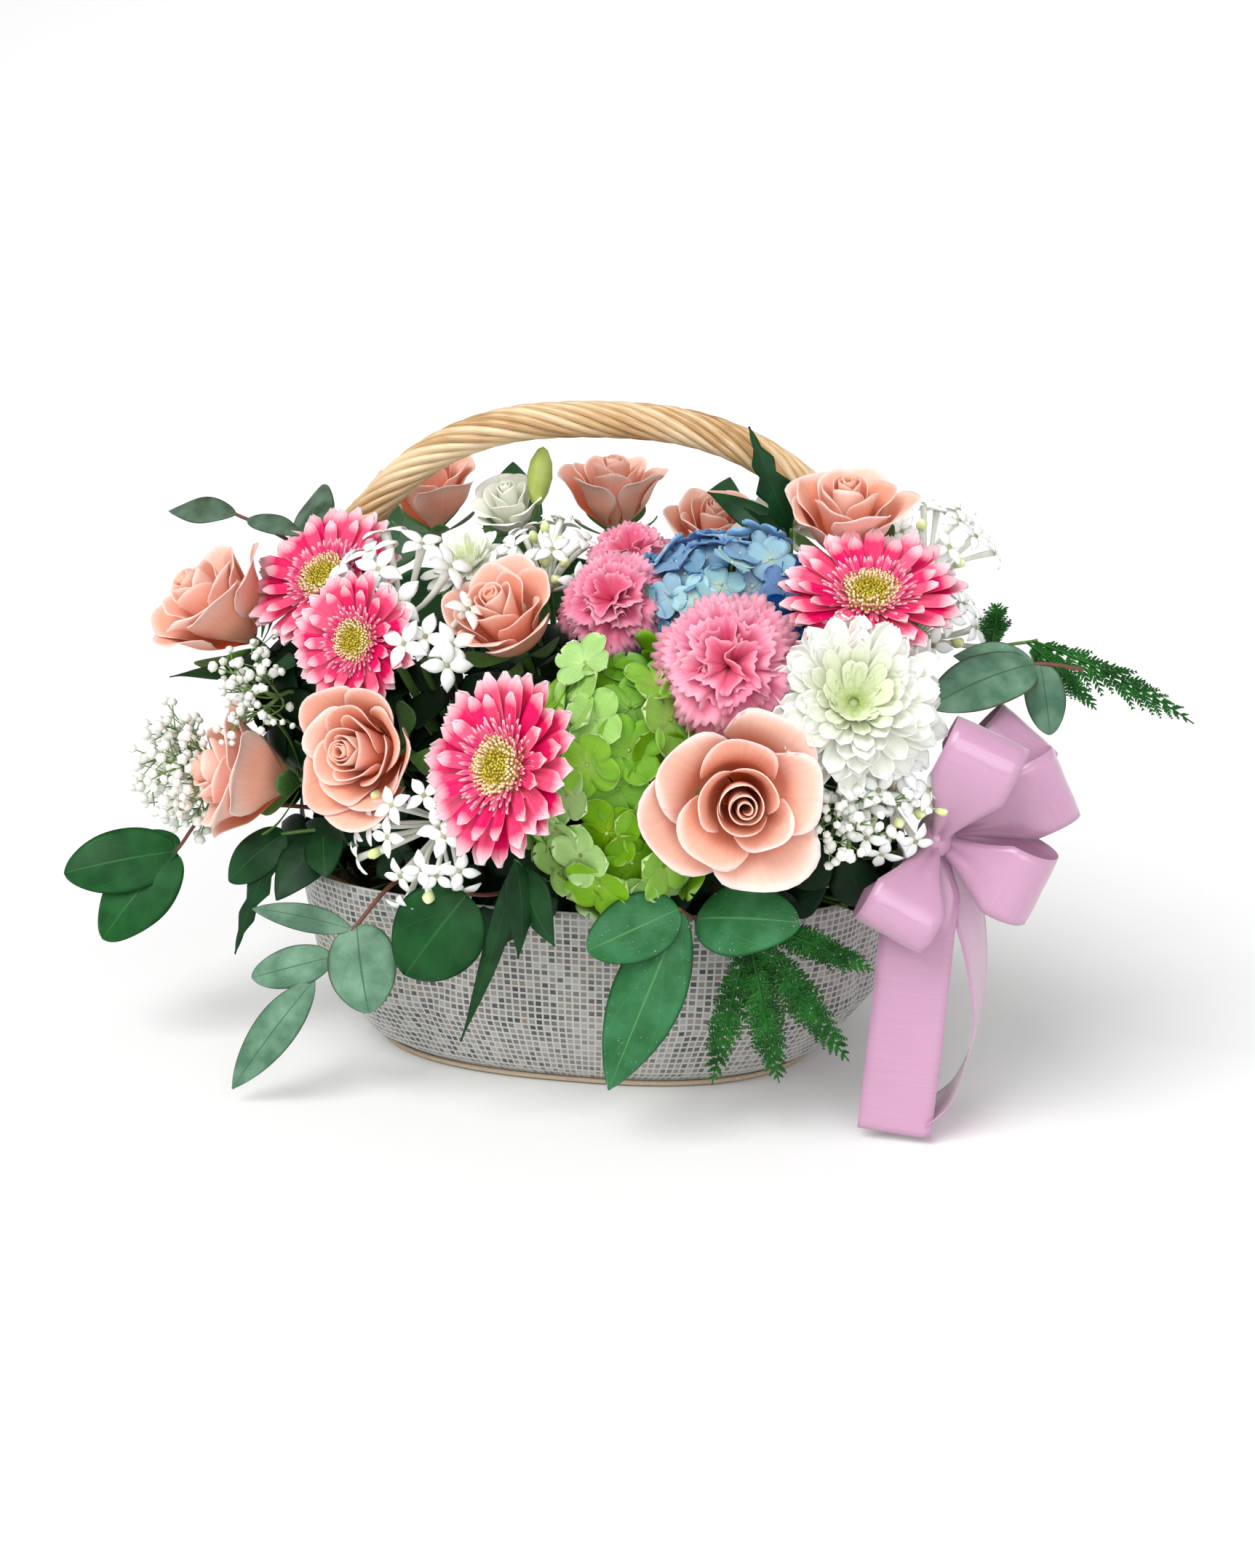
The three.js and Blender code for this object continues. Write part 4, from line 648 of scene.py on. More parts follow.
def tubes(
    paths: Array, radius: Array | float, finish: Finish, sides: int = 6, chance: Array | float = 0.5
) -> Shape:
    """Round bars along paths, each closed by a point at both ends.

    Args:
        paths: (P, n, 3), the middle lines.
        radius: each bar's radius, (P, n) or what broadcasts to it.
        finish: their finish.
        sides: how many points go round each.
        chance: each bar's own chance share.

    Returns:
        All the bars as one shape. Its map is the angle, from 0 to 1, and the length so far in centimetres.
    """
    count, n, _ = paths.shape
    tangent = unit(np.gradient(paths, axis=1))
    span = np.abs(unit(paths[:, -1] - paths[:, 0]))
    ref = np.eye(3)[np.argmin(span - [0, 0, TIE], -1)][:, None]
    side = unit(np.cross(tangent, ref))
    up = np.cross(side, tangent)
    angle = np.linspace(0, 2 * np.pi, sides, endpoint=False)[:, None]
    r = np.broadcast_to(radius, (count, n))[:, :, None, None]
    rings = paths[:, :, None] + r * (np.cos(angle) * side[:, :, None] + np.sin(angle) * up[:, :, None])
    points = np.concatenate([rings.reshape(count, -1, 3), paths[:, :1], paths[:, -1:]], axis=1)
    quads = np.broadcast_to(grid_quads(n, sides, closed=True), (count, (n - 1) * sides, 4))
    fans = np.broadcast_to(end_fans(n, sides), (count, 2 * sides, 3))
    inside = outward(points, quads)
    fans = np.where(np.any(inside != quads, axis=(1, 2))[:, None, None], fans[..., ::-1], fans)
    step = np.linalg.norm(np.diff(paths, axis=1), axis=-1)
    length = np.concatenate([np.zeros((count, 1)), np.cumsum(step, 1)], 1)[:, :, None] / 10
    uv = stacked(np.arange(sides) / sides, length).reshape(count, -1, 2)
    uv = np.concatenate([uv, stacked(0.5, length[:, [0, -1], 0])], 1)
    tone = np.zeros((count, n * sides + 2, 3))
    tone[..., 0] = np.broadcast_to(chance, count)[:, None]
    shift = (np.arange(count) * (n * sides + 2))[:, None, None]
    faces = [(inside + shift).reshape(-1, 4), (fans + shift).reshape(-1, 3)]
    return Shape(points.reshape(-1, 3), faces, uv.reshape(-1, 2), tone.reshape(-1, 3), finish)


def capped(rings: Array, poles: Sequence[Sequence[float]], uv: Array, finish: Finish, chance: float) -> Shape:
    """A closed surface from a grid that joins round on itself, with a pole at each end.

    Args:
        rings: (rows, cols, 3), the grid.
        poles: the two poles.
        uv: the map of the grid's points and of the poles after them.
        finish: its finish.
        chance: its chance share.

    Returns:
        The surface, facing outward.
    """
    rows, cols, _ = rings.shape
    points = np.concatenate([rings.reshape(-1, 3), poles])
    faces = [grid_quads(rows, cols, closed=True), end_fans(rows, cols)][rows == 1 :]
    if not np.array_equal(outward(points[None], faces[0][None])[0], faces[0]):
        faces = [f[:, ::-1] for f in faces]
    return Shape(points, faces, uv, np.zeros((len(points), 3)) + [chance, 0, 0], finish)


def turned(
    profile: Sequence[tuple[float, float]],
    sides: int,
    finish: Finish,
    star: float = 0.0,
    scale: float | tuple[float, float] = 1.0,
) -> Shape:
    """A turned solid from (radius, height) pairs that start and end on the axis.

    Args:
        profile: the pairs, from one pole to the other.
        sides: how many points go round it.
        finish: its finish.
        star: how much every second point round it is drawn in, as a share of the radius.
        scale: what the pairs, or the radii and the heights, are multiplied by.

    Returns:
        The solid. Its map is the angle and the share of the way along the profile.
    """
    pairs = np.asarray(profile, float) * np.asarray(scale)
    k = np.arange(sides)
    angle = 2 * np.pi * k / sides
    r = pairs[1:-1, :1] * (1 - star * (k % 2))
    rings = stacked(r * np.cos(angle), r * np.sin(angle), pairs[1:-1, 1:])
    v = np.linspace(0, 1, len(pairs))[1:-1, None]
    uv = np.concatenate([stacked(k / sides, v).reshape(-1, 2), [[0.5, 0.0], [0.5, 1.0]]])
    return capped(rings, [[0, 0, pairs[0, 1]], [0, 0, pairs[-1, 1]]], uv, finish, 0.5)


def piece(name: str, shapes: Sequence[Shape], nodes: Sequence[str] = ()) -> Any:
    """Puts shapes into one Blender object that rides on the basket.

    Args:
        name: the object's name.
        shapes: its shapes, in millimetres.
        nodes: the CAD nodes that it stands for.

    Returns:
        The object, at the origin.
    """
    finishes = list(dict.fromkeys(s.finish for s in shapes))
    starts = np.cumsum([0] + [len(s.points) for s in shapes])
    blocks = [(f + start, finishes.index(s.finish)) for s, start in zip(shapes, starts) for f in s.faces]
    sizes = np.concatenate([np.full(len(f), f.shape[1]) for f, _ in blocks])
    loops = np.concatenate([f.ravel() for f, _ in blocks]).astype(np.int32)
    mesh = bpy.data.meshes.new(name)
    points = np.concatenate([s.points for s in shapes]) * MM
    mesh.vertices.add(len(points))
    mesh.vertices.foreach_set("co", points.ravel().astype(np.float32))
    mesh.loops.add(len(loops))
    mesh.loops.foreach_set("vertex_index", loops)
    mesh.polygons.add(len(sizes))
    mesh.polygons.foreach_set("loop_start", (np.cumsum(sizes) - sizes).astype(np.int32))
    mesh.update(calc_edges=True)
    mesh.polygons.foreach_set("use_smooth", np.ones(len(sizes), bool))
    indices = np.concatenate([np.full(len(f), index, np.int32) for f, index in blocks])
    mesh.polygons.foreach_set("material_index", indices)
    uv = np.concatenate([s.uv for s in shapes])[loops].astype(np.float32)
    mesh.uv_layers.new(name="UVMap").data.foreach_set("uv", uv.ravel())
    tone = np.concatenate([s.tone for s in shapes]).astype(np.float32)
    mesh.attributes.new("tone", "FLOAT_VECTOR", "POINT").data.foreach_set("vector", tone.ravel())
    for finish in finishes:
        mesh.materials.append(finish.material())
    thing = bpy.data.objects.new(name, mesh)
    bpy.context.scene.collection.objects.link(thing)
    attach(thing, ROOT)
    if nodes:
        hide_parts(*nodes)
    LOG.info("%s: %d triangles", name, int((sizes - 2).sum()))
    return thing


# ---- stems ----
@dataclass(frozen=True)
class FoamAim:
    """The foam's middle line, which every stem heads for, and how far out of it the foam reaches."""

    half_length: float = 66
    height: float = 94
    reach: Vec = (36, 68, 52)
    depth: float = 24
    lean: float = 0.62
    lead: float = 12

    def ends(self, start: Array) -> tuple[Array, Array]:
        """Where a stem that comes from `start` enters the foam, and where it ends in it."""
        x = float(np.clip(self.lean * start[0], -self.half_length, self.half_length))
        middle = np.array([x, 0.0, self.height])
        out = unit(start - middle)
        reach = 1 / np.linalg.norm(out / np.array(self.reach))
        return middle + out * (reach + self.lead), middle + out * max(self.lead, reach - self.depth)


FOAM_AIM = FoamAim()


@dataclass(frozen=True)
class Bloom:
    """A bloom that stands on its own stem: its name, its middle, the way it looks and its turn."""

    name: str
    at: Vec
    look: tuple[float, float]
    roll: float = 0.0
    seed: int = 1
    stem_radius: float = 2.4
    neck: float = 16.0

    def root_depth(self) -> float:
        """How far behind the bloom's middle its stem starts."""
        raise NotImplementedError

    def head(self) -> list[Shape]:
        """The bloom itself, facing +Z."""
        raise NotImplementedError

    def stem(self) -> Shape:
        """The stem from behind the bloom down into the foam."""
        back = -facing(*self.look)
        root = np.array(self.at) + back * self.root_depth()
        neck = root + back * self.neck
        entry, end = FOAM_AIM.ends(neck)
        path = smooth_path([root - back * 3, neck, entry, end], 18)
        return tubes(path[None], self.stem_radius, WOODY_GREEN, 8)

    def build(self) -> None:
        """Builds the bloom and its stem as one piece in place of its CAD node."""
        axes, origin = look_axes(self.look, self.roll), np.array(self.at)
        shapes = [shape.placed(axes, origin) for shape in self.head()]
        piece(self.name, [*shapes, self.stem()], [self.name])


# ---- roses ----
@dataclass(frozen=True)
class Rose(Bloom):
    """A rose: petals on a golden-angle spiral, from a tightly wound heart to broad ones that roll back."""

    radius: float = 34
    opening: float = 0.3
    petals: int = 20
    finish: Finish = ROSE
    heart_shift: tuple[float, float] = (0.0, 0.0)
    stem_radius: float = 2.6

    def root_depth(self) -> float:
        """Just inside the goblet's foot."""
        return 0.9 * self.radius

    def head(self) -> list[Shape]:
        """The petals, and five sepals under them.

        A petal stands on the wall of a goblet: its radius swells to a belly by a sine, and its upper part leans
        out by a smooth step and rolls back at the rim, more on the outer petals. Its top edge is an arc that
        dips to the sides, waved by two sines and drawn up to a small point in the middle.
        """
        size, rng = self.radius, np.random.default_rng(self.seed)
        i, u, v = across_and_along(self.petals, 17, 19)
        k = i / (self.petals - 1)
        luck = rng.uniform(-1, 1, (7, self.petals, 1, 1))
        outer = ease((k - 0.3) / 0.55)
        spread = mix(2.3, mix(0.92, 1.02, self.opening), ease(k / 0.62)) * (1 + 0.08 * luck[1])
        belly = mix(0.05, mix(0.74, 0.7, self.opening), k**1.3)
        flare = mix(0.015, mix(0.2, 0.27, self.opening), outer) * (1 + 0.2 * luck[0])
        top = mix(0.64, mix(0.46, 0.24, self.opening), k**1.4) + 0.05 * luck[2] * outer
        h = v * (1 - mix(0.1, 0.5, k) * np.abs(u) ** 3 - 0.02 * outer * (1 + np.sin(6 * u + 5 * luck[3])))
        swell = np.sin(np.minimum(h / 0.62, 1) * (np.pi / 2))
        lean = ease((h - 0.5) / 0.5)
        tip = ease((h - 0.76) / 0.24)
        wave = outer * lean * (0.04 * np.sin(2.6 * u + 4 * luck[4]) + 0.022 * np.sin(7 * u + 6 * luck[5]))
        point = outer * tip * np.exp(-((u / 0.2) ** 2))
        roll = outer * mix(0.75, 1.1, self.opening) * (1 + 0.3 * luck[6])
        r = 0.1 + (belly - 0.1) * swell + flare * lean + 0.08 * roll * tip + wave
        r = size * r * (1 + 0.08 * u * mix(1.6, 1.0, ease(2 * k)))
        z = size * (-0.78 + (top + 0.78) * h**0.92 - 0.2 * roll * tip**2 * (0.4 + u**2) + 0.03 * point)
        a = i * GOLDEN + 0.2 * luck[0] + spread * u * mix(0.4, 1, ease(1.5 * h))
        x = r * np.cos(a) + size * self.heart_shift[0] * (1 - k) * h
        y = r * np.sin(a) + size * self.heart_shift[1] * (1 - k) * h
        middle = stacked(x, y, z)
        heart = (1 - k[:, 0, 0]) ** 1.5 * 0.5
        corolla = blades(middle, PETAL_THICK, self.finish, rng.random(self.petals), heart)
        return [corolla, self.sepals()]

    def sepals(self) -> Shape:
        """Five narrow green sepals that hug the goblet's foot."""
        size = self.radius
        i, u, v = across_and_along(5, 9, 5)
        a = i * 2 * np.pi / 5 + u * 0.3 * np.sin(np.pi * np.clip(v * 0.9 + 0.06, 0, 1)) ** 0.8
        r = size * (0.12 + 0.62 * np.sin(np.minimum(v / 0.9, 1) * np.pi / 2) + 0.08 * v**3)
        z = size * (-0.9 + 0.46 * v)
        middle = stacked(r * np.cos(a), r * np.sin(a), z)
        return blades(middle, LEAF_THICK, CALYX, np.linspace(0.2, 0.8, 5))


# ---- daisies ----
@dataclass(frozen=True)
class Ring:
    """A ring of ray petals: how many, how far they reach, their half-width, and their rise in degrees."""

    count: int
    reach: float
    half: float
    lift: float
    droop: float = 0.0
    start: float = 0.16
    tip: float = 0.3
    cup: float = 0.12
    depth: float = 0.0
    stray: float = 1.0


def rays(ring: Ring, size: float, rng: np.random.Generator, rows: int = 9, cols: int = 7) -> Array:
    """The middle surfaces of a ring of strap-shaped petals.

    Each runs outward and up at the ring's lift, droops by the square of the way along, is widest two thirds of
    the way out, rounds off over its tip, and is cupped across with two shallow grooves.

    Args:
        ring: the ring's sizes, as shares of the bloom's radius.
        size: the bloom's radius.
        rng: the source of chance.
        rows: points along a petal.
        cols: points across a petal.

    Returns:
        (count, rows, cols, 3).
    """
    i, u, v = across_and_along(ring.count, rows, cols)
    luck = rng.uniform(-1, 1, (4, ring.count, 1, 1))
    reach = ring.reach * (1 + 0.05 * ring.stray * luck[0])
    r = ring.start + (reach - ring.start) * v
    body = 0.42 + 0.58 * np.sin(np.pi * np.minimum(v / 0.7, 1) * 0.5)
    end = np.sqrt(np.clip(1 - (np.clip(v - (1 - ring.tip), 0, 1) / ring.tip) ** 2, 0.02, 1))
    half = ring.half * body * end
    rise = np.tan(np.radians(ring.lift + 3.5 * ring.stray * luck[1]))
    groove = 0.012 * np.cos(2.4 * np.pi * u) * np.minimum(4 * v, 1)
    z = ring.depth + (r - 0.2) * rise - ring.droop * v**2 + ring.cup * ring.half * 3 * u**2 * v + groove
    turn = 2 * np.pi * (i + 0.3 * luck[2]) / ring.count + ring.lift
    side = half * u + 0.06 * luck[3] * v**2 * ring.half
    return size * about_z(r, side, z, turn)


@dataclass(frozen=True)
class Gerbera(Bloom):
    """A gerbera: two or three rings of strap rays, a pink fringe, a cream ring of florets and a green heart."""

    radius: float = 44

    def root_depth(self) -> float:
        """Behind the cone under the rays."""
        return 0.3 * self.radius

    def head(self) -> list[Shape]:
        """The rings of rays, the fringe, the cream florets, the heart and the green cone behind."""
        size, rng = self.radius, np.random.default_rng(self.seed)
        outer = [
            Ring(19, 1.0, 0.118, 8, 0.04, tip=0.2, cup=0.1),
            Ring(18, 0.95, 0.11, 14, 0.04, tip=0.2, cup=0.1, depth=0.02),
            Ring(13, 0.74, 0.085, 24, 0.02, tip=0.22, cup=0.14, depth=0.03),
        ]
        shapes = [blades(rays(r, size, rng), PETAL_THICK, GERBERA_RAY, rng.random(r.count)) for r in outer]
        fringe = [
            Ring(34, 0.53, 0.02, 16, 0.0, 0.25, depth=0.07, tip=0.4),
            Ring(32, 0.46, 0.02, 30, 0.0, 0.25, depth=0.07, tip=0.4),
            Ring(30, 0.4, 0.018, 46, 0.0, 0.25, depth=0.07, tip=0.4),
        ]
        for r in fringe:
            shapes.append(blades(rays(r, size, rng, 6, 4), PETAL_THICK, GERBERA_FRINGE, rng.random(r.count)))
        shapes.append(self.florets(0.17, 0.33, 170, GERBERA_CREAM, 0.06, rng))
        shapes.append(self.florets(0.0, 0.18, 90, PISTIL, 0.035, rng))
        disc = [(0, -0.34), (0.1, -0.3), (0.28, 0.0), (0.33, 0.08), (0.24, 0.12), (0, 0.11)]
        shapes.append(turned(disc, 24, PISTIL, scale=size))
        cone = [(0, -0.38), (0.09, -0.34), (0.2, -0.2), (0.4, -0.02), (0.3, 0.03), (0, 0.03)]
        shapes.append(turned(cone, 20, CALYX, scale=size))
        return shapes

    def florets(self, low: float, high: float, n: int, finish: Finish, tall: float, rng: Any) -> Shape:
        """Tiny tube florets packed on the disc between two radii, on a golden-angle spiral.

        Args:
            low: the inner radius, as a share of the bloom's.
            high: the outer radius, as a share of the bloom's.
            n: how many there are.
            finish: their finish.
            tall: how tall each stands, as a share of the bloom's radius.
            rng: the source of chance.

        Returns:
            The florets, which lean outward a little more towards the rim.
        """
        size, i = self.radius, np.arange(n)
        r = np.sqrt(mix(low**2, high**2, (i + 0.5) / n)) + 0.006 * rng.normal(size=n)
        a = i * GOLDEN
        height = 0.12 + 0.03 * np.sin(np.pi * r / 0.34) - 0.2 * np.maximum(0, r - 0.27)
        spots = size * np.stack([r * np.cos(a), r * np.sin(a), height], -1)
        lean = 2.2 * r + 0.2 * rng.normal(size=n)
        way = unit(np.stack([np.sin(lean) * np.cos(a), np.sin(lean) * np.sin(a), np.cos(lean)], -1))
        tube = [(0, -0.02), (0.012, -0.01), (0.011, tall * 0.7), (0.015, tall), (0, tall * 0.95)]
        bead = turned(tube, 6, finish, scale=size)
        return bead.repeated(axes_along(way) * rng.uniform(0.8, 1.2, n)[:, None, None], spots, rng.random(n))


@dataclass(frozen=True)
class Chrysanthemum(Bloom):
    """A double white chrysanthemum: spoon petals in rings that rise towards a green heart of curled ones."""

    radius: float = 44
    rings: tuple[int, ...] = (19, 19, 18, 17, 15, 13, 11)
    curls: tuple[tuple[float, ...], ...] = (
        (12, 0.27, 68, 0.4),
        (10, 0.2, 74, 0.6),
        (8, 0.13, 78, 0.9),
        (5, 0.07, 82, 1.0),
    )
    stem_radius: float = 2.6

    def root_depth(self) -> float:
        """Behind the rings of petals."""
        return 0.3 * self.radius

    def head(self) -> list[Shape]:
        """The rings from the outermost in, the heart's short green petals, and the green cup behind."""
        size, rng, last = self.radius, np.random.default_rng(self.seed), len(self.rings) - 1
        shapes = []
        for number, count in enumerate(self.rings):
            k = number / last
            reach, half = mix(1.0, 0.34, k**1.15), mix(0.15, 0.085, k)
            lift, droop = mix(0, 66, k**0.85), mix(0.12, -0.06, k)
            ring = Ring(count, reach, half, lift, droop, 0.06, 0.2, 0.16, depth=0.03 * number, stray=1.9)
            middle = rays(ring, size, rng, 11, 9)
            shapes.append(blades(middle, PETAL_THICK, MUM, rng.random(count), 0.3 * ease((k - 0.6) / 0.4)))
        for count, reach, lift, heart in self.curls:
            curls = Ring(count, reach, 0.05, lift, -0.04, 0.02, tip=0.4, cup=0.5, depth=0.12, stray=2.0)
            shapes.append(blades(rays(curls, size, rng, 7, 5), PETAL_THICK, MUM, rng.random(count), heart))
        heart = [(0, -0.34), (0.12, -0.3), (0.14, -0.16), (0.08, -0.06), (0, -0.04)]
        shapes.append(turned(heart, 16, HEART_GREEN, scale=size))
        return shapes


# ---- carnations ----
@dataclass(frozen=True)
class Carnation(Bloom):
    """A carnation: fan-shaped petals with ruffles and a toothed rim, packed into a dome over a green calyx."""

    radius: float = 30
    petals: int = 28
    stem_radius: float = 2.2

    def root_depth(self) -> float:
        """At the calyx's foot."""
        return 0.7 * self.radius

    def head(self) -> list[Shape]:
        """The petals and the calyx.

        A petal is a fan that leaves the calyx's mouth and leans further out as it goes. It is thrown into two
        or three deep ruffles that grow with the square of the way along, and its rim is cut into teeth.
        """
        size, rng = self.radius, np.random.default_rng(self.seed)
        i, u, v = across_and_along(self.petals, 13, 29)
        luck = rng.uniform(-1, 1, (6, self.petals, 1, 1))
        k = (i + 0.5) / self.petals
        lean = np.radians(mix(2, 62, k**0.7) + 6 * luck[0]) + np.radians(mix(10, 42, k)) * v**2
        teeth = 1 + 0.11 * (np.abs(((u * 4.5 + 0.5) % 1) - 0.5) * 2 - 0.5) * ease((v - 0.8) / 0.2)
        reach = mix(0.84, 1.14, k) * (1 + 0.08 * luck[1])
        fan = mix(0.6, 0.56, k) * u * ease(1.2 * v + 0.15)
        out = size * reach * v * teeth * (1 - 0.12 * u**2)
        fold = np.sin(4.6 * u + 5 * luck[2]) + 0.4 * np.sin(9.5 * u + 5 * luck[5])
        ruffle = size * mix(0.13, 0.1, k) * v**1.7 * fold
        ahead, aside = out * np.cos(fan), out * np.sin(fan)
        turn = i * GOLDEN + 0.35 * luck[3]
        radial = np.sin(lean) * ahead + np.cos(lean) * ruffle
        z = np.cos(lean) * ahead - np.sin(lean) * ruffle - 0.34 * size
        middle = about_z(radial, aside, z, turn)
        corolla = blades(middle, 0.45, CARNATION, rng.random(self.petals), 0.5 * (1 - k[:, 0, 0]) ** 2)
        cup = [(0, -0.78), (0.2, -0.74), (0.27, -0.5), (0.26, -0.28), (0, -0.25)]
        return [corolla, turned(cup, 12, CALYX, scale=size)]


# ---- hydrangeas ----
def round_petal(length: float, width: float, cup: float, rows: int = 10, cols: int = 7) -> Array:
    """One rounded petal from the middle out along +X: nearly as broad as long, with a soft wave in it.

    Its outline is a half turn of a squarish circle, with rows closer together towards both ends. It rises by a
    slope that eases off, or falls back where `cup` is less than nothing, and its sides lift a little.

    Args:
        length: from root to tip.
        width: at its widest.
        cup: how far its middle rises on the way out.
        rows: points along it.
        cols: points across it.

    Returns:
        (1, rows, cols, 3).
    """
    _, u, v = across_and_along(1, rows, cols)
    turn = np.pi * mix(0.07, 0.985, v)
    share = 0.5 - 0.5 * np.cos(turn)
    half = 0.5 * width * np.sin(turn) ** 0.72 * mix(0.62, 1.0, ease(1.7 * share))
    wave = 0.03 * length * np.sin(5 * share + 2.4 * u) * share
    z = cup * (1.5 * share - 1.1 * share**2) + 0.1 * width * u**2 * share + wave
    return stacked(length * share, half * u, z)


def petal_star(middle: Array, count: int) -> Array:
    """A petal repeated round +Z, (count, rows, cols, 3)."""
    return about_z(*np.moveaxis(middle, -1, 0), (2 * np.pi * np.arange(count) / count)[:, None, None])


@dataclass(frozen=True)
class Hydrangea(Bloom):
    """A hydrangea head: four-petalled florets all over a dome, each on a short stalk of its own."""

    radii: Vec = (44, 44, 40)
    florets: int = 52
    petal: float = 14.5
    span: float = 1.16
    finish: Finish = LIME
    # How much heart colour the florets facing away from pale_towards take: painted shade, and on the blue head
    # also its own deeper blue.
    shade_and_tint_heart: float = 0.6
    pale_towards: Vec = (0, 0, 1)
    stem_radius: float = 3.0

    def root_depth(self) -> float:
        """Inside the dome."""
        return 0.36 * self.radii[2]

    def head(self) -> list[Shape]:
        """The florets on a golden-angle spiral over the dome, their stalks, and their bead hearts."""
        rng, n = np.random.default_rng(self.seed), self.florets
        i, radii = np.arange(n), np.array(self.radii)
        out = spiral_at(1 - self.span * (i + 0.4) / n)
        normal = unit(unit(out / radii) + 0.2 * rng.normal(size=(n, 3)))
        sink = 0.83 + 0.17 * rng.random((n, 1))
        centres = out * radii * sink
        axes = axes_along(normal, rng.uniform(0, 3, n)) * (0.84 + 0.26 * rng.random(n))[:, None, None]
        # Painted shade: florets that face away from pale_towards, and florets sunk deeper into the dome, take
        # the dark heart colour.
        low = self.shade_and_tint_heart * ease(0.5 - out @ unit(np.array(self.pale_towards, float)))
        low = np.maximum(low, 0.55 * ease((0.93 - sink[:, 0]) / 0.08))
        chance = rng.random(n)
        shapes = []
        for kind, cup in enumerate((0.3, 0.02, -0.24)):
            some = i % 3 == kind
            star = petal_star(round_petal(self.petal, 1.06 * self.petal, cup * self.petal), 4)
            floret = blades(star, 0.45, self.finish, np.zeros(4))
            shapes.append(floret.repeated(axes[some], centres[some], chance[some], low[some]))
        bead = turned([(0, -0.6), (1.1, 0.3), (0.8, 1.2), (0, 1.5)], 6, self.finish)
        shapes.append(bead.repeated(axes, centres, rng.random(n), 0.0))
        core = np.array([0.0, 0.0, -0.3 * self.radii[2]])
        t = np.linspace(0, 1, 5)[None, :, None]
        bow = centres[:, None] * t + core * (1 - t)
        shapes.append(tubes(bow, 0.9, WOODY_GREEN, 5, rng.random(n)))
        return shapes


# ---- bouvardia ----
@dataclass(frozen=True)
class Bouvardia(Bloom):
    """A bouvardia head: four-pointed white stars on long tubes that fan out from one point, and square buds."""

    reach: float = 44
    spread: float = 46
    stars: int = 12
    buds: int = 4
    star: float = 9.5
    stem_radius: float = 1.7

    def root_depth(self) -> float:
        """At the point that the tubes fan out from."""
        return 2.0

    def head(self) -> list[Shape]:
        """The stars, their throats and tubes, the buds, and the knot of green that they spring from."""
        rng, n = np.random.default_rng(self.seed), self.stars + self.buds
        way = spiral_directions(n, self.spread)
        way = unit(way + 0.06 * rng.normal(size=(n, 3)))
        long = self.reach * rng.uniform(0.82, 1.03, n)
        is_bud = np.zeros(n, bool)
        is_bud[rng.permutation(n)[: self.buds]] = True
        long = np.where(is_bud, 0.86 * long, long)
        tips = way * long[:, None]
        t = np.linspace(0, 1, 6)[None, :, None]
        sag = self.reach * 0.04 * rng.normal(size=(n, 1, 3)) * np.sin(np.pi * t)
        width = np.array([0.8, 0.9, 1.1, 1.3, 1.6, 2.1]) * self.star / 10
        shapes = [tubes(tips[:, None] * t + sag, width[None], BOUVARDIA_TUBE, 6, rng.random(n))]
        axes = axes_along(way, rng.uniform(0, 3, n))
        _, u, v = across_and_along(1, 7, 5)
        half = 0.3 * self.star * np.sin(np.pi * np.clip(0.1 + 0.89 * v, 0, 1)) ** 0.9
        bend = 0.16 * self.star * (np.sin(2.2 * v) - 1.0 * v**3) - 0.07 * self.star * u**2 * v
        petal = stacked(0.9 + self.star * v, half * u, bend)
        star = blades(petal_star(petal, 4), 0.6, BOUVARDIA, np.zeros(4))
        open_ = ~is_bud
        shapes.append(star.repeated(axes[open_], tips[open_], rng.random(self.stars)))
        # A grey-brown plug at each star's middle: painted shade in the tube's open mouth.
        throat = turned([(0, -1.5), (1.3, -0.6), (1.3, 0.5), (0, 0.7)], 8, THROAT_SHADE)
        shapes.append(throat.repeated(axes[open_], tips[open_], rng.random(self.stars)))
        lantern = [(0, -3.2), (1.5, -2.4), (2.9, 0.2), (3.2, 2.4), (1.9, 4.4), (0, 5.2)]
        bud = turned(lantern, 8, BOUVARDIA_BUD, star=0.2)
        shapes.append(bud.repeated(axes[is_bud], tips[is_bud], rng.random(self.buds)))
        knot = [(0, -3.5), (2.4, -2.0), (2.2, 2.0), (0, 0.2 * self.reach)]
        shapes.append(turned(knot, 8, WOODY_GREEN))
        return shapes


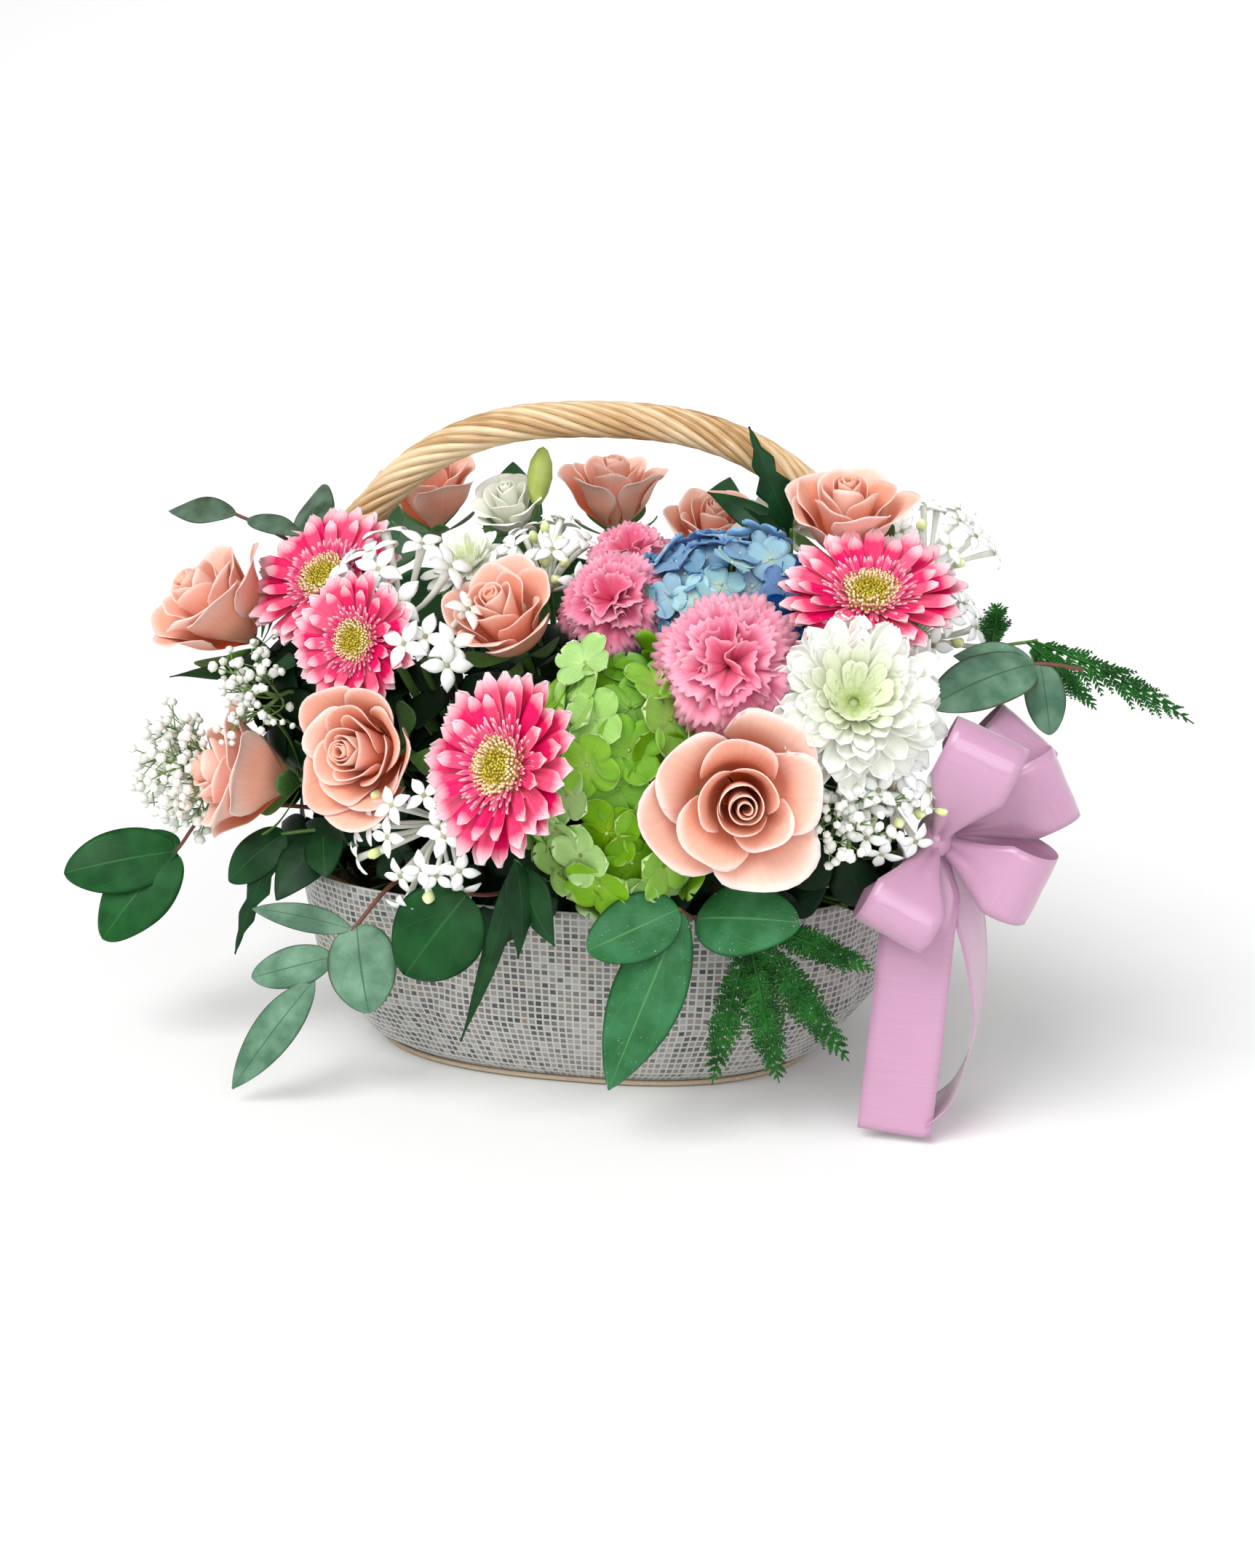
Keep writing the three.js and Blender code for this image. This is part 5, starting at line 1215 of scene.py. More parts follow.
# ---- gypsophila ----
@dataclass(frozen=True)
class Gypsophila(Bloom):
    """A gypsophila spray: tiny double blooms on hair-thin stalks that leave forked twigs one after another."""

    reach: float = 32
    spread: float = 62
    forks: int = 9
    beads: int = 9
    bead: float = 2.3
    stem_radius: float = 1.2

    def root_depth(self) -> float:
        """At the first fork."""
        return 1.0

    def head(self) -> list[Shape]:
        """The forked twigs, the stalks, and a ruffled bead at the end of each."""
        rng, n = np.random.default_rng(self.seed), self.forks * self.beads
        way = spiral_directions(self.forks, self.spread, 0.3)
        long = self.reach * rng.uniform(0.8, 1.0, self.forks)
        t = np.linspace(0, 1, 6)[None, :, None]
        curve = 0.08 * self.reach * rng.normal(size=(self.forks, 1, 3)) * np.sin(np.pi * t)
        twigs = way[:, None] * long[:, None, None] * t + curve
        shapes = [tubes(twigs, np.array([0.8, 0.7, 0.6, 0.5, 0.45, 0.35])[None], TWIG_GREEN, 5)]
        fork = np.repeat(np.arange(self.forks), self.beads)
        start = way[fork] * (long[fork] * rng.uniform(0.35, 0.98, n))[:, None]
        aim = unit(way[fork] * 1.1 + 0.75 * rng.normal(size=(n, 3)))
        ends = start + aim * (self.reach * rng.uniform(0.2, 0.46, n))[:, None]
        limit = self.reach * 1.34
        ends *= np.minimum(1, limit / np.linalg.norm(ends, axis=1))[:, None]
        s = np.linspace(0, 1, 3)[None, :, None]
        shapes.append(tubes(mix(start[:, None], ends[:, None], s), 0.32, TWIG_GREEN, 4, rng.random(n)))
        profile = [(0, -0.8), (0.6, -0.6), (1.0, -0.05), (0.62, 0.62), (0, 0.72)]
        puff = turned(profile, 10, GYPSOPHILA, star=0.22, scale=self.bead)
        size = rng.uniform(0.62, 1.1, n)[:, None, None]
        shapes.append(puff.repeated(axes_along(aim, rng.uniform(0, 3, n)) * size, ends, rng.random(n)))
        return shapes


# ---- leaves ----
class Outline(Enum):
    """The outline of a leaf, as its share of full half-width at a share v of the way along."""

    ROUND = (0.84, 0.52)
    OVAL = (0.85, 0.8)
    LANCE = (0.7, 1.1)

    def half(self, v: Array) -> Array:
        """The half-width at v: a sine, with its peak moved towards the root and its shoulders filled out."""
        skew, power = self.value
        return np.sin(np.pi * np.clip(v, 0, 1) ** skew) ** power


@dataclass(frozen=True)
class Blade:
    """A leaf from its base to its tip, its width, the way its upper side looks, and its form."""

    base: Vec
    tip: Vec
    width: float
    face: tuple[float, float] = (12, 20)
    arch: float = 0.08
    fold: float = 0.12
    outline: Outline = Outline.OVAL
    teeth: int = 0

    def middle(self, base: Array, rows: int = 25, cols: int = 13) -> Array:
        """Its middle surface, sprung from `base`.

        The blade is a straight run from base to tip, arched by a parabola along it, folded down from the midrib
        to both sides, waved a little at the edge, and narrowed at each notch between its teeth.
        """
        stretch = np.array(self.tip) - base
        long = np.linalg.norm(stretch)
        side, up = side_and_up(facing(*self.face), stretch)
        _, u, v = across_and_along(1, rows, cols)
        v = mix(v, 0.5 - 0.5 * np.cos(np.pi * v), 0.8)
        notch = 0.55 + 0.45 * (np.abs(((v * self.teeth + 0.25) % 1) - 0.5) * 2) if self.teeth else 1
        half = np.maximum(0.5, self.width / 2 * self.outline.half(v) * notch)
        wave = 0.03 * self.width * np.sin(9 * v + self.width) * u**3
        lift = self.arch * long * 4 * v * (1 - v) - self.fold * half * np.abs(u) ** 1.5 + wave
        flow = v[..., None] * stretch
        return base + flow + (u * half)[..., None] * side + lift[..., None] * up


@dataclass(frozen=True)
class Frond:
    """A fern frond: a rib from base to tip with cut leaflets in pairs, each of them toothed."""

    base: Vec
    tip: Vec
    width: float
    face: tuple[float, float] = (12, 20)
    arch: float = 0.06
    pairs: int = 14
    leaflets: int = 6

    def shapes(self, base: Array, rng: np.random.Generator) -> list[Shape]:
        """Its leaflets, the ribs that carry them, and its main rib.

        The main rib is a straight run arched by a parabola. Side ribs leave it in pairs at about 55 degrees, as
        long as the frond's outline is wide there. Each bears pairs of small leaflets that shorten to its tip.
        """
        stretch = np.array(self.tip) - base
        long = np.linalg.norm(stretch)
        ahead = stretch / long
        side, up = side_and_up(facing(*self.face), stretch)
        t = np.linspace(0, 1, 14)[:, None]
        rib = base + stretch * t + up * self.arch * long * 4 * t * (1 - t)
        n = 2 * self.pairs
        i = np.arange(n)
        s = 0.06 + 0.92 * (i // 2 + 0.25 * (i % 2)) / self.pairs
        hand = np.where(i % 2 == 0, 1.0, -1.0)
        root = base + stretch * s[:, None] + up * (self.arch * long * 4 * s * (1 - s))[:, None]
        reach = self.width * 0.6 * np.sin(np.pi * np.minimum(1, 0.24 + 0.76 * s)) ** 0.8
        reach = reach * rng.uniform(0.85, 1.1, n)
        way = unit(ahead * 1.15 + side * hand[:, None] * 0.85 + up * rng.uniform(-0.5, 0.2, n)[:, None])
        broad = unit(np.cross(np.broadcast_to(up, way.shape), way))
        w = np.linspace(0, 1, 4)[None, :, None]
        ribs = root[:, None] + way[:, None] * reach[:, None, None] * w
        ribs = ribs - up * (0.1 * reach)[:, None, None] * w**2
        j = np.arange(2 * self.leaflets)
        part = (j // 2 + 0.6) / self.leaflets
        left = np.where(j % 2 == 0, 1.0, -1.0)
        size = (reach[:, None] * 0.36 * (1.1 - part) ** 0.7 * rng.uniform(0.85, 1.15, (n, len(j)))).ravel()
        starts = root[:, None] + way[:, None] * (reach[:, None] * part)[..., None]
        starts = starts - up * (0.1 * reach[:, None] * part**2)[..., None]
        rise = up * rng.uniform(-0.4, 0.3, (n, len(j), 1))
        aim = unit(way[:, None] * 1.1 + broad[:, None] * 0.8 * left[:, None] + rise)
        starts, aim = starts.reshape(-1, 3), aim.reshape(-1, 3)
        flat = unit(np.cross(np.broadcast_to(up, aim.shape), aim))
        _, u, v = across_and_along(len(aim), 5, 3)
        half = (0.13 * size + 0.2)[:, None, None] * np.sin(np.pi * np.clip(0.15 + 0.8 * v, 0, 1)) ** 0.8
        middle = starts[:, None, None] + (size[:, None, None] * v)[..., None] * aim[:, None, None]
        middle = middle + (half * u)[..., None] * flat[:, None, None]
        leaves = blades(middle, 0.3, FERN_GREEN, np.repeat(rng.random(n), len(j)))
        return [
            leaves,
            tubes(ribs, np.array([0.35, 0.3, 0.25, 0.15])[None], FERN_GREEN, 4, rng.random(n)),
            tubes(rib[None], np.linspace(0.9, 0.35, 14)[None], FERN_GREEN, 6),
        ]


@dataclass(frozen=True)
class Sprig:
    """A leafy stem: its path out of the foam, and the leaves or fronds that spring from it."""

    name: str
    finish: Finish
    path: tuple[Vec, ...]
    leaves: tuple[Blade, ...] = ()
    fronds: tuple[Frond, ...] = ()
    radius: float = 1.4
    bark: Finish = WOODY_GREEN
    dewy: bool = False

    def build(self) -> None:
        """Builds the stem with all that it carries as one piece in place of its CAD node."""
        rng = np.random.default_rng(len(self.name) + 7 * len(self.leaves))
        start = np.array(self.path[-1], float)
        entry, end = FOAM_AIM.ends(start)
        path = smooth_path([*self.path, entry, end], 8 * (len(self.path) + 2))
        taper = np.linspace(0.7, 1.1, len(path)) * self.radius
        shapes = []
        for blade in self.leaves:
            base = path[np.argmin(np.linalg.norm(path - blade.base, axis=1))]
            rows = max(25, 12 * blade.teeth + 1)
            middle = blade.middle(base, rows)
            shapes.append(blades(middle, LEAF_THICK, self.finish, rng.random(1)))
            if self.dewy:
                shapes.append(dew_on(middle[0], rng))
        for frond in self.fronds:
            base = path[np.argmin(np.linalg.norm(path - frond.base, axis=1))]
            shapes += frond.shapes(base, rng)
        shapes.append(tubes(path[None], taper[None], self.bark, 7))
        piece(self.name, shapes, [self.name])


def dew_on(middle: Array, rng: np.random.Generator, spacing: float = 5.5) -> Shape:
    """Small drops of water standing on the upper side of a leaf, at chance places.

    Args:
        middle: (rows, cols, 3), the leaf's middle surface.
        rng: the source of chance.
        spacing: about how far apart the drops are.

    Returns:
        The drops, each a low dome along the leaf's normal.
    """
    rows, cols, _ = middle.shape
    normal = unit(np.cross(np.gradient(middle, axis=0), np.gradient(middle, axis=1)))
    long = np.linalg.norm(middle[-1, cols // 2] - middle[0, cols // 2])
    wide = np.linalg.norm(middle[rows // 2, -1] - middle[rows // 2, 0])
    n = max(6, int(long * wide / spacing**2))
    r, c = rng.integers(2, rows - 2, n), rng.integers(1, cols - 1, n)
    k = rng.random((n, 1))
    spots = mix(middle[r, c], middle[r + 1, c], k)
    size = rng.uniform(0.25, 0.75, n) ** 1.5
    drop = turned([(0, -0.3), (1, 0.1), (0.75, 0.55), (0, 0.75)], 7, DEW)
    away = normal[r, c]
    return drop.repeated(axes_along(away) * size[:, None, None], spots + away * 0.25, rng.random(n))


# ---- the arrangement ----
ROSES = (
    Rose(
        "rose_front", (102, -160, 179), (8, 10), 20, 3, radius=43, opening=0.8, petals=18, finish=ROSE_PALE,
        heart_shift=(0.07, -0.07),
    ),
    Rose("rose_centre_left", (-86, -138, 186), (-15, 15), 70, 5, radius=35, opening=0.6, petals=26),
    Rose("rose_left_low", (-173, -92, 159), (-62, 12), 10, 7, radius=37, opening=0.75, petals=22),
    Rose("rose_left_high", (-195, -62, 243), (-50, 45), 40, 9, radius=37, opening=0.7, petals=22),
    Rose("rose_middle", (-29, -88, 246), (-15, 50), 0, 11, radius=32, opening=0.25),
    Rose("rose_right", (137, -48, 297), (5, 65), 30, 13, radius=32, opening=0.5),
    Rose("rose_top", (-1, 46, 296), (10, 80), 55, 15, radius=30, opening=0.3),
    Rose("rose_behind_handle", (-108, 46, 295), (-10, 75), 15, 17, radius=31, opening=0.4),
    Rose("rose_back", (57, 34, 279), (20, 60), 80, 19, radius=26, opening=0.3),
    Rose("lisianthus", (-51, 8, 291), (-10, 60), 0, 21, radius=22, opening=0.9, petals=16, finish=LISIANTHUS),
)
GERBERAS = (
    Gerbera("gerbera_front", (-5, -170, 191), (-30, 17), radius=46, seed=2),
    Gerbera("gerbera_right", (153, -92, 262), (5, 58), radius=44, seed=4),
    Gerbera("gerbera_left", (-96, -112, 236), (-15, 15), radius=35, seed=6),
    Gerbera("gerbera_upper_left", (-131, -58, 256), (-20, 45), radius=44, seed=8),
)
MUMS = (
    Chrysanthemum("chrysanthemum_front", (150, -128, 220), (10, 25), radius=44, seed=3),
    Chrysanthemum("chrysanthemum_left", (-60, -40, 264), (-10, 55), radius=24, rings=(16, 14, 12, 9), seed=5),
    Chrysanthemum("chrysanthemum_right", (95, 16, 283), (10, 60), radius=24, rings=(16, 14, 12, 9), seed=7),
)
CARNATIONS = (
    Carnation("carnation_front", (93, -138, 238), (5, 20), radius=32, petals=34, seed=3),
    Carnation("carnation_middle", (27, -88, 258), (0, 30), radius=26, seed=5),
    Carnation("carnation_back", (27, -42, 274), (0, 50), radius=22, petals=24, seed=7),
)
HYDRANGEAS = (
    Hydrangea("hydrangea_green", (40, -124, 176), (0, 8), radii=(46, 66, 42), florets=50, petal=17, seed=4),
    Hydrangea(
        "hydrangea_blue", (78, -62, 250), (5, 45), radii=(46, 40, 40), florets=56, petal=13, finish=BLUE,
        shade_and_tint_heart=1.0, pale_towards=(-0.7, 0.5, 0.5), seed=6,
    ),
)
BOUVARDIAS = (
    Bouvardia("bouvardia_low_left", (-50, -120, 148), (-12, -4), reach=50, spread=50, stars=15, buds=4, seed=3),
    Bouvardia(
        "bouvardia_high_left", (-88, -66, 240), (-15, 50), reach=46, spread=54, stars=10, buds=1, star=13.5,
        seed=5,
    ),
    Bouvardia(
        "bouvardia_inner", (-66, -88, 222), (30, 28), reach=42, spread=34, stars=5, buds=0, star=12, seed=8,
    ),
    Bouvardia("bouvardia_right", (164, -100, 169), (12, 10), reach=42, spread=44, stars=12, buds=4, seed=11),
    Bouvardia(
        "bouvardia_top", (-20, -30, 250), (0, 60), reach=38, spread=58, stars=12, buds=9, star=10.5, seed=13,
    ),
    Bouvardia("bouvardia_back_right", (172, 14, 256), (25, 55), reach=44, spread=50, stars=14, buds=2, seed=17),
    Bouvardia(
        "bouvardia_side_right", (172, -30, 234), (60, 35), reach=34, spread=46, stars=10, buds=3, seed=19,
    ),
)
GYPSOPHILAS = (
    Gypsophila(
        "gypsophila_left", (-198, -62, 156), (-60, -10), reach=39, spread=74, forks=18, beads=11, bead=3.6,
        seed=23,
    ),
    Gypsophila(
        "gypsophila_middle", (-150, -84, 200), (-40, 15), reach=32, spread=62, forks=8, bead=3.1, seed=29,
    ),
    Gypsophila("gypsophila_right", (146, -124, 168), (12, 0), reach=30, spread=58, forks=10, bead=3.2, seed=31),
)
ROUND, LANCE = Outline.ROUND, Outline.LANCE
SPRIGS = (
    Sprig(
        "eucalyptus_left_low", DARK_GUM, ((-221, -70, 107), (-199, -62, 130), (-150, -42, 128)),
        (
            Blade((-219, -72, 108), (-276, -92, 98), 36, (0, 25), outline=ROUND),
            Blade((-219, -66, 109), (-262, -60, 96), 26, (-10, 40), outline=ROUND),
            Blade((-220, -73, 106), (-254, -96, 63), 38, (0, 20), outline=ROUND),
        ),
        bark=RED_STEM,
    ),
    Sprig(
        "eucalyptus_front_left", BLUE_GUM, ((-117, -137, 66), (-96, -129, 94), (-80, -112, 113)),
        (
            Blade((-104, -126, 95), (-155, -122, 96), 15, (5, 40)),
            Blade((-112, -134, 80), (-152, -134, 63), 21, (5, 20), outline=ROUND),
            Blade((-116, -137, 67), (-159, -150, 8), 22, (5, 15)),
            Blade((-96, -130, 93), (-85, -146, 54), 36, (5, 15), outline=ROUND),
        ),
        bark=RED_STEM, dewy=True,
    ),
    Sprig(
        "eucalyptus_centre_left", DARK_GUM, ((-31, -152, 122), (-22, -130, 116), (-14, -104, 116)),
        (
            Blade((-31, -151, 121), (-60, -162, 82), 46, (8, 20), outline=ROUND),
        ),
        bark=RED_STEM,
    ),
    Sprig(
        "leaves_centre", SALAL, ((-2, -168, 146), (0, -150, 134), (4, -110, 118)),
        (
            Blade((-1, -168, 146), (-1, -170, 98), 17, (50, 10), outline=LANCE),
            Blade((-1, -160, 143), (16, -166, 104), 22, (-20, 10), outline=LANCE),
            Blade((-2, -166, 145), (-34, -158, 48), 11, (0, 15), -0.06, outline=LANCE),
        ),
    ),
    Sprig(
        "eucalyptus_centre", GREEN_GUM, ((73, -152, 122), (79, -136, 112), (84, -118, 110), (80, -96, 116)),
        (
            Blade((72, -151, 121), (32, -166, 103), 32, (10, 20), outline=ROUND),
            Blade((73, -150, 119), (42, -166, 33), 35, (6, 15)),
            Blade((79, -138, 113), (131, -160, 122), 36, (12, 30), outline=ROUND),
        ),
        bark=RED_STEM, dewy=True,
    ),
    Sprig(
        "eucalyptus_right", BLUE_GUM, ((254, -58, 226), (232, -60, 228), (200, -46, 218), (150, -34, 180)),
        (
            Blade((230, -72, 220), (183, -104, 214), 30, (5, 40), outline=ROUND),
            Blade((230, -68, 221), (192, -58, 230), 18, (10, 30)),
            Blade((232, -70, 219), (240, -72, 196), 20, (10, 10), outline=ROUND),
        ),
        bark=RED_STEM,
    ),
    Sprig(
        "eucalyptus_top_left", DUSKY_GUM,
        ((-197, -20, 285), (-175, -24, 277), (-153, -24, 262), (-130, -16, 220)),
        (
            Blade((-196, -20, 285), (-239, -14, 285), 19, (0, 50)),
            Blade((-190, -22, 285), (-152, -38, 277), 14, (0, 50)),
            Blade((-152, -22, 262), (-160, 14, 298), 28, (-20, 20), outline=ROUND),
        ),
        bark=RED_STEM,
    ),
    Sprig(
        "leaves_right_top", RUSCUS, ((106, -22, 286), (105, -15, 262), (98, -8, 232)),
        (
            Blade((105, -22, 284), (84, -26, 337), 19, (0, 20), outline=LANCE, teeth=4),
            Blade((104, -19, 280), (58, 6, 300), 16, (0, 30), outline=LANCE),
            Blade((104, -16, 276), (84, -40, 298), 13, (0, 40), outline=LANCE, teeth=3),
        ),
    ),
    Sprig(
        "leaves_left_low", SALAL, ((-150, -92, 128), (-128, -80, 128), (-110, -66, 122)),
        (
            Blade((-149, -91, 128), (-178, -98, 102), 24, (-10, 20), outline=ROUND),
            Blade((-148, -92, 127), (-176, -100, 62), 16, (-10, 10), outline=LANCE, teeth=4),
            Blade((-128, -82, 127), (-146, -112, 98), 26, (0, 25)),
            Blade((-129, -81, 130), (-118, -112, 112), 22, (0, 40)),
        ),
    ),
    Sprig(
        "leaves_left_high", SALAL, ((-168, -60, 204), (-150, -48, 190)),
        (
            Blade((-167, -62, 204), (-214, -78, 206), 12, (0, 60), outline=LANCE),
            Blade((-167, -60, 205), (-138, -92, 218), 22, (-20, 50)),
            Blade((-160, -54, 198), (-206, -30, 204), 24, (-60, 50)),
        ),
    ),
    Sprig(
        "fern_front", FERN_GREEN, ((104, -139, 99), (105, -135, 109), (103, -119, 119), (98, -100, 122)),
        fronds=(
            Frond((104, -137, 106), (87, -134, 26), 24, (0, 20)),
            Frond((105, -138, 104), (121, -141, 33), 26, (5, 20)),
            Frond((106, -136, 107), (154, -138, 46), 26, (10, 20)),
            Frond((106, -132, 112), (164, -130, 90), 22, (10, 30)),
        ),
        radius=1.2,
    ),
    Sprig(
        "fern_right", FERN_GREEN, ((232, -28, 234), (205, -30, 226), (160, -26, 190)),
        fronds=(
            Frond((230, -28, 233), (309, -42, 198), 26, (5, 50)),
            Frond((226, -29, 232), (262, -48, 204), 18, (5, 40)),
            Frond((208, -30, 227), (212, -52, 256), 20, (10, 30)),
        ),
        radius=1.2,
    ),
)


@dataclass(frozen=True)
class BackSpray:
    """A spray of broad leaves that closes the arrangement from behind."""

    name: str
    low: Vec
    high: Vec
    long: float

    def sprig(self) -> Sprig:
        """The spray as a sprig: a stem that leans out over the rim, with leaves on both sides."""
        low, high = np.array(self.low, float), np.array(self.high, float)
        along = unit(high - low)
        wide = unit(np.array([1.0, 0, 0]) - along * along[0])

        def leaf(k: float, sideways: float, up: float) -> Blade:
            """A leaf a share k of the way up the stem, out to the side and up."""
            base = mix(low, high, k)
            tip = base + wide * sideways * self.long + along * up * self.long
            return Blade(tuple(base), tuple(tip), 0.62 * self.long, (180, 20))

        leaves = (leaf(0.98, 0.1, 0.95), leaf(0.5, 0.9, 0.3), leaf(0.3, -0.9, 0.1))
        return Sprig(self.name, SALAL, (self.high, self.low), leaves)


BACK = (
    BackSpray("leaves_back_left", (-150, 70, 190), (-150, 95, 240), 62),
    BackSpray("leaves_back_centre_left", (-72, 96, 190), (-80, 112, 246), 62),
    BackSpray("leaves_back_centre_right", (36, 100, 186), (40, 114, 240), 62),
    BackSpray("leaves_back_right", (124, 78, 190), (130, 98, 244), 62),
    BackSpray("leaves_back_low_left", (-110, 128, 128), (-130, 146, 118), 56),
    BackSpray("leaves_back_low_right", (86, 132, 128), (110, 148, 116), 56),
)


@dataclass(frozen=True)
class Filler:
    """Leaves on short stems that fill the space between the blooms, from the foam out, near-black as painted
    shade.
    """

    name: str
    count: int
    radii: Vec
    centre: Vec
    span: tuple[float, float] = (0.97, -0.1)
    long: float = 34
    wide: tuple[float, float] = (16, 28)
    seed: int = 12

    def build(self) -> None:
        """Builds the leaves over a dome that lies just inside the blooms, each with its twig."""
        rng, n = np.random.default_rng(self.seed), self.count
        way = spiral_at(np.linspace(*self.span, n))
        tips = np.array(self.centre) + way * np.array(self.radii) * rng.uniform(0.84, 1.0, (n, 1))
        aside = unit(np.cross(way, rng.normal(size=(n, 3))))
        stretch = self.long * unit(way * rng.uniform(0.25, 0.8, (n, 1)) + aside)
        bases = tips - stretch
        normal = unit(way + 0.3 * rng.normal(size=way.shape))
        side, up = side_and_up(normal, stretch)
        _, u, v = across_and_along(n, 13, 7)
        half = np.maximum(0.5, rng.uniform(*self.wide, n)[:, None, None] / 2 * Outline.OVAL.half(v))
        lift = 0.4 * self.long * v * (1 - v) - 0.14 * half * np.abs(u) ** 1.5
        middle = bases[:, None, None] + v[..., None] * stretch[:, None, None]
        middle = middle + (u * half)[..., None] * side[:, None, None] + lift[..., None] * up[:, None, None]
        # The filler leaves are coloured near-black as painted shade in the gaps between the blooms.
        shapes = [blades(middle, LEAF_THICK, GAP_SHADE_LEAF, rng.random(n))]
        entries = np.array([FOAM_AIM.ends(base)[1] for base in bases])
        t = np.linspace(0, 1, 5)[None, :, None]
        shapes.append(tubes(mix(bases[:, None], entries[:, None], t), 0.9, WOODY_GREEN, 5))
        piece(self.name, shapes)


FILLERS = (
    Filler("filler_leaves_outer", 250, (176, 128, 126), (-4, -8, 122)),
    Filler("filler_leaves_inner", 150, (140, 96, 96), (0, -8, 122), seed=14),
    Filler("filler_leaves_rim", 140, (168, 116, 40), (-2, -4, 116), (0.5, -0.25), 36, seed=16),
    Filler("filler_leaves_right", 30, (36, 28, 26), (132, -88, 132), (0.9, -0.6), 30, seed=20),
    Filler("filler_leaves_left", 54, (44, 40, 50), (-136, -46, 188), (0.9, -0.9), seed=18),
)


@dataclass(frozen=True)
class LisianthusBud:
    """The yellow-green lisianthus bud that stands beside the open flower: a twisted cone on a thin stalk."""

    base: Vec = (-36, 8, 290)
    tip: Vec = (-32, 9, 322)
    radius: float = 7.0

    def build(self) -> None:
        """Builds the bud, its calyx and its stalk."""
        base, tip = np.array(self.base, float), np.array(self.tip, float)
        long = float(np.linalg.norm(tip - base))
        profile = [(0, 0.0), (0.4, 0.06), (0.8, 0.25), (1.0, 0.5), (0.85, 0.75), (0.4, 0.95), (0, 1.0)]
        bud = turned(profile, 15, LIS_BUD, 0.1, (self.radius, long))
        frame = axes_along(unit(tip - base)[None])[0]
        entry, end = FOAM_AIM.ends(base)
        stalk = smooth_path([base + (tip - base) * 0.1, base - np.array([2, 4, 26]), entry, end], 18)
        piece("lisianthus_bud", [bud.placed(frame, base), tubes(stalk[None], 1.1, WOODY_GREEN, 7)])


# ---- the ribbon ----
@dataclass(frozen=True)
class Loop:
    """A loop of the bow: where along the knot it starts, which way it reaches, how its width lies, its size."""

    root: float
    out: Vec
    across: Vec
    reach: float
    bulge: float


@dataclass(frozen=True)
class Tail:
    """A tail of the bow: the points that it hangs through, and how its width lies along it."""

    points: tuple[Vec, ...]
    across: tuple[Vec, ...]


@dataclass(frozen=True)
class Bow:
    """The bow: five loops and two long tails of one satin ribbon, gathered at a knot on a pick."""

    width: float = 36
    thickness: float = 0.7
    knot: Vec = (189, -98, 150)
    loops: tuple[Loop, ...] = (
        Loop(-10, (26, -22, 60), (0.9, 0, -0.4), 66, 13),
        Loop(11, (44, 16, 52), (0.8, 0, -0.6), 66, 13),
        Loop(4, (64, 6, 30), (-0.4, 0, 0.9), 66, 13),
        Loop(-3, (54, -12, -22), (0.3, 0, 0.9), 56, 15),
        Loop(-10, (-20, -30, -42), (0.8, 0, -0.5), 52, 13),
    )
    tails: tuple[Tail, ...] = (
        Tail(
            ((187, -97, 146), (183, -112, 112), (180, -120, 60), (176, -126, 5)),
            ((1, 0, 0), (1, 0.05, 0), (1, 0, 0)),
        ),
        Tail(
            ((192, -91, 147), (208, -94, 104), (213, -98, 60), (204, -104, 24), (188, -110, 7)),
            ((0.5, 0.8, 0), (0.1, 1, 0), (0, 1, 0)),
        ),
    )

    def band(self, line: Array, across: Array, width: Array) -> Shape:
        """A closed band along a line, slightly dished across.

        Args:
            line: (n, 3), its middle line.
            across: (n, 3), the way its width lies.
            width: (n,), its width.

        Returns:
            The band. Its map is the share across, and the length in decimetres.
        """
        along = unit(np.gradient(line, axis=0))
        wide = unit(across - along * np.sum(across * along, -1, keepdims=True))
        normal = np.cross(wide, along)
        u = np.linspace(-1, 1, 9)[None, :, None]
        pinch = 1 - width / self.width
        crease = (1.6 + 5 * pinch)[:, None, None] * np.cos(np.pi * 2.0 * u)
        crease = crease * 0.25 * (0.3 + pinch)[:, None, None]
        middle = line[:, None] + u * (width / 2)[:, None, None] * wide[:, None] + crease * normal[:, None]
        shape = blades(middle[None], self.thickness, SATIN, 0.5)
        shape.uv[:, 1] = np.repeat(run_of(line) / 100, 18)
        return shape

    def loop(self, loop: Loop) -> Shape:
        """A loop from the knot out and back: a sine out, a double sine to open it, narrow at the knot."""
        away = unit(np.array(loop.out, float))
        wide = np.array(loop.across, float)
        wide = unit(wide - away * wide.dot(away))
        t = np.linspace(0, 1, 41)[:, None]
        opening = loop.bulge * np.sin(2 * np.pi * t) + 1.2 * np.cos(np.pi * t)
        start = np.array(self.knot) + np.array([0, loop.root, 0])
        line = start + away * loop.reach * np.sin(np.pi * t) + np.cross(away, wide) * opening
        width = self.width * np.minimum(1, 0.22 + 1.5 * np.sin(np.pi * t[:, 0]) ** 1.5)
        return self.band(line, np.broadcast_to(wide, line.shape), width)

    def tail(self, tail: Tail) -> Shape:
        """A tail along its points, its width turning steadily from one direction to the next."""
        t = np.linspace(0, 1, 45)
        across = sampled(t, np.linspace(0, 1, len(tail.across)), np.array(tail.across, float))
        return self.band(smooth_path(tail.points, 44), across, self.width * np.minimum(1, 0.35 + 3 * t))

    def build(self) -> None:
        bands = [*(self.loop(item) for item in self.loops), *(self.tail(item) for item in self.tails)]
        knot = turned([(0, -17), (7, -14), (9.5, -6), (8.5, 0), (9.5, 6), (7, 14), (0, 17)], 20, SATIN)
        knot = knot.placed(look_axes((0, 0)), np.array(self.knot))
        pick = smooth_path([self.knot, (156, -78, 138), (112, -50, 118), (72, -30, 108)], 16)
        ribbon = piece("ribbon_bow", bands, ["ribbon_bow"])
        piece("ribbon_knot", [knot, tubes(pick[None], 1.5, WOODY_GREEN, 8)])


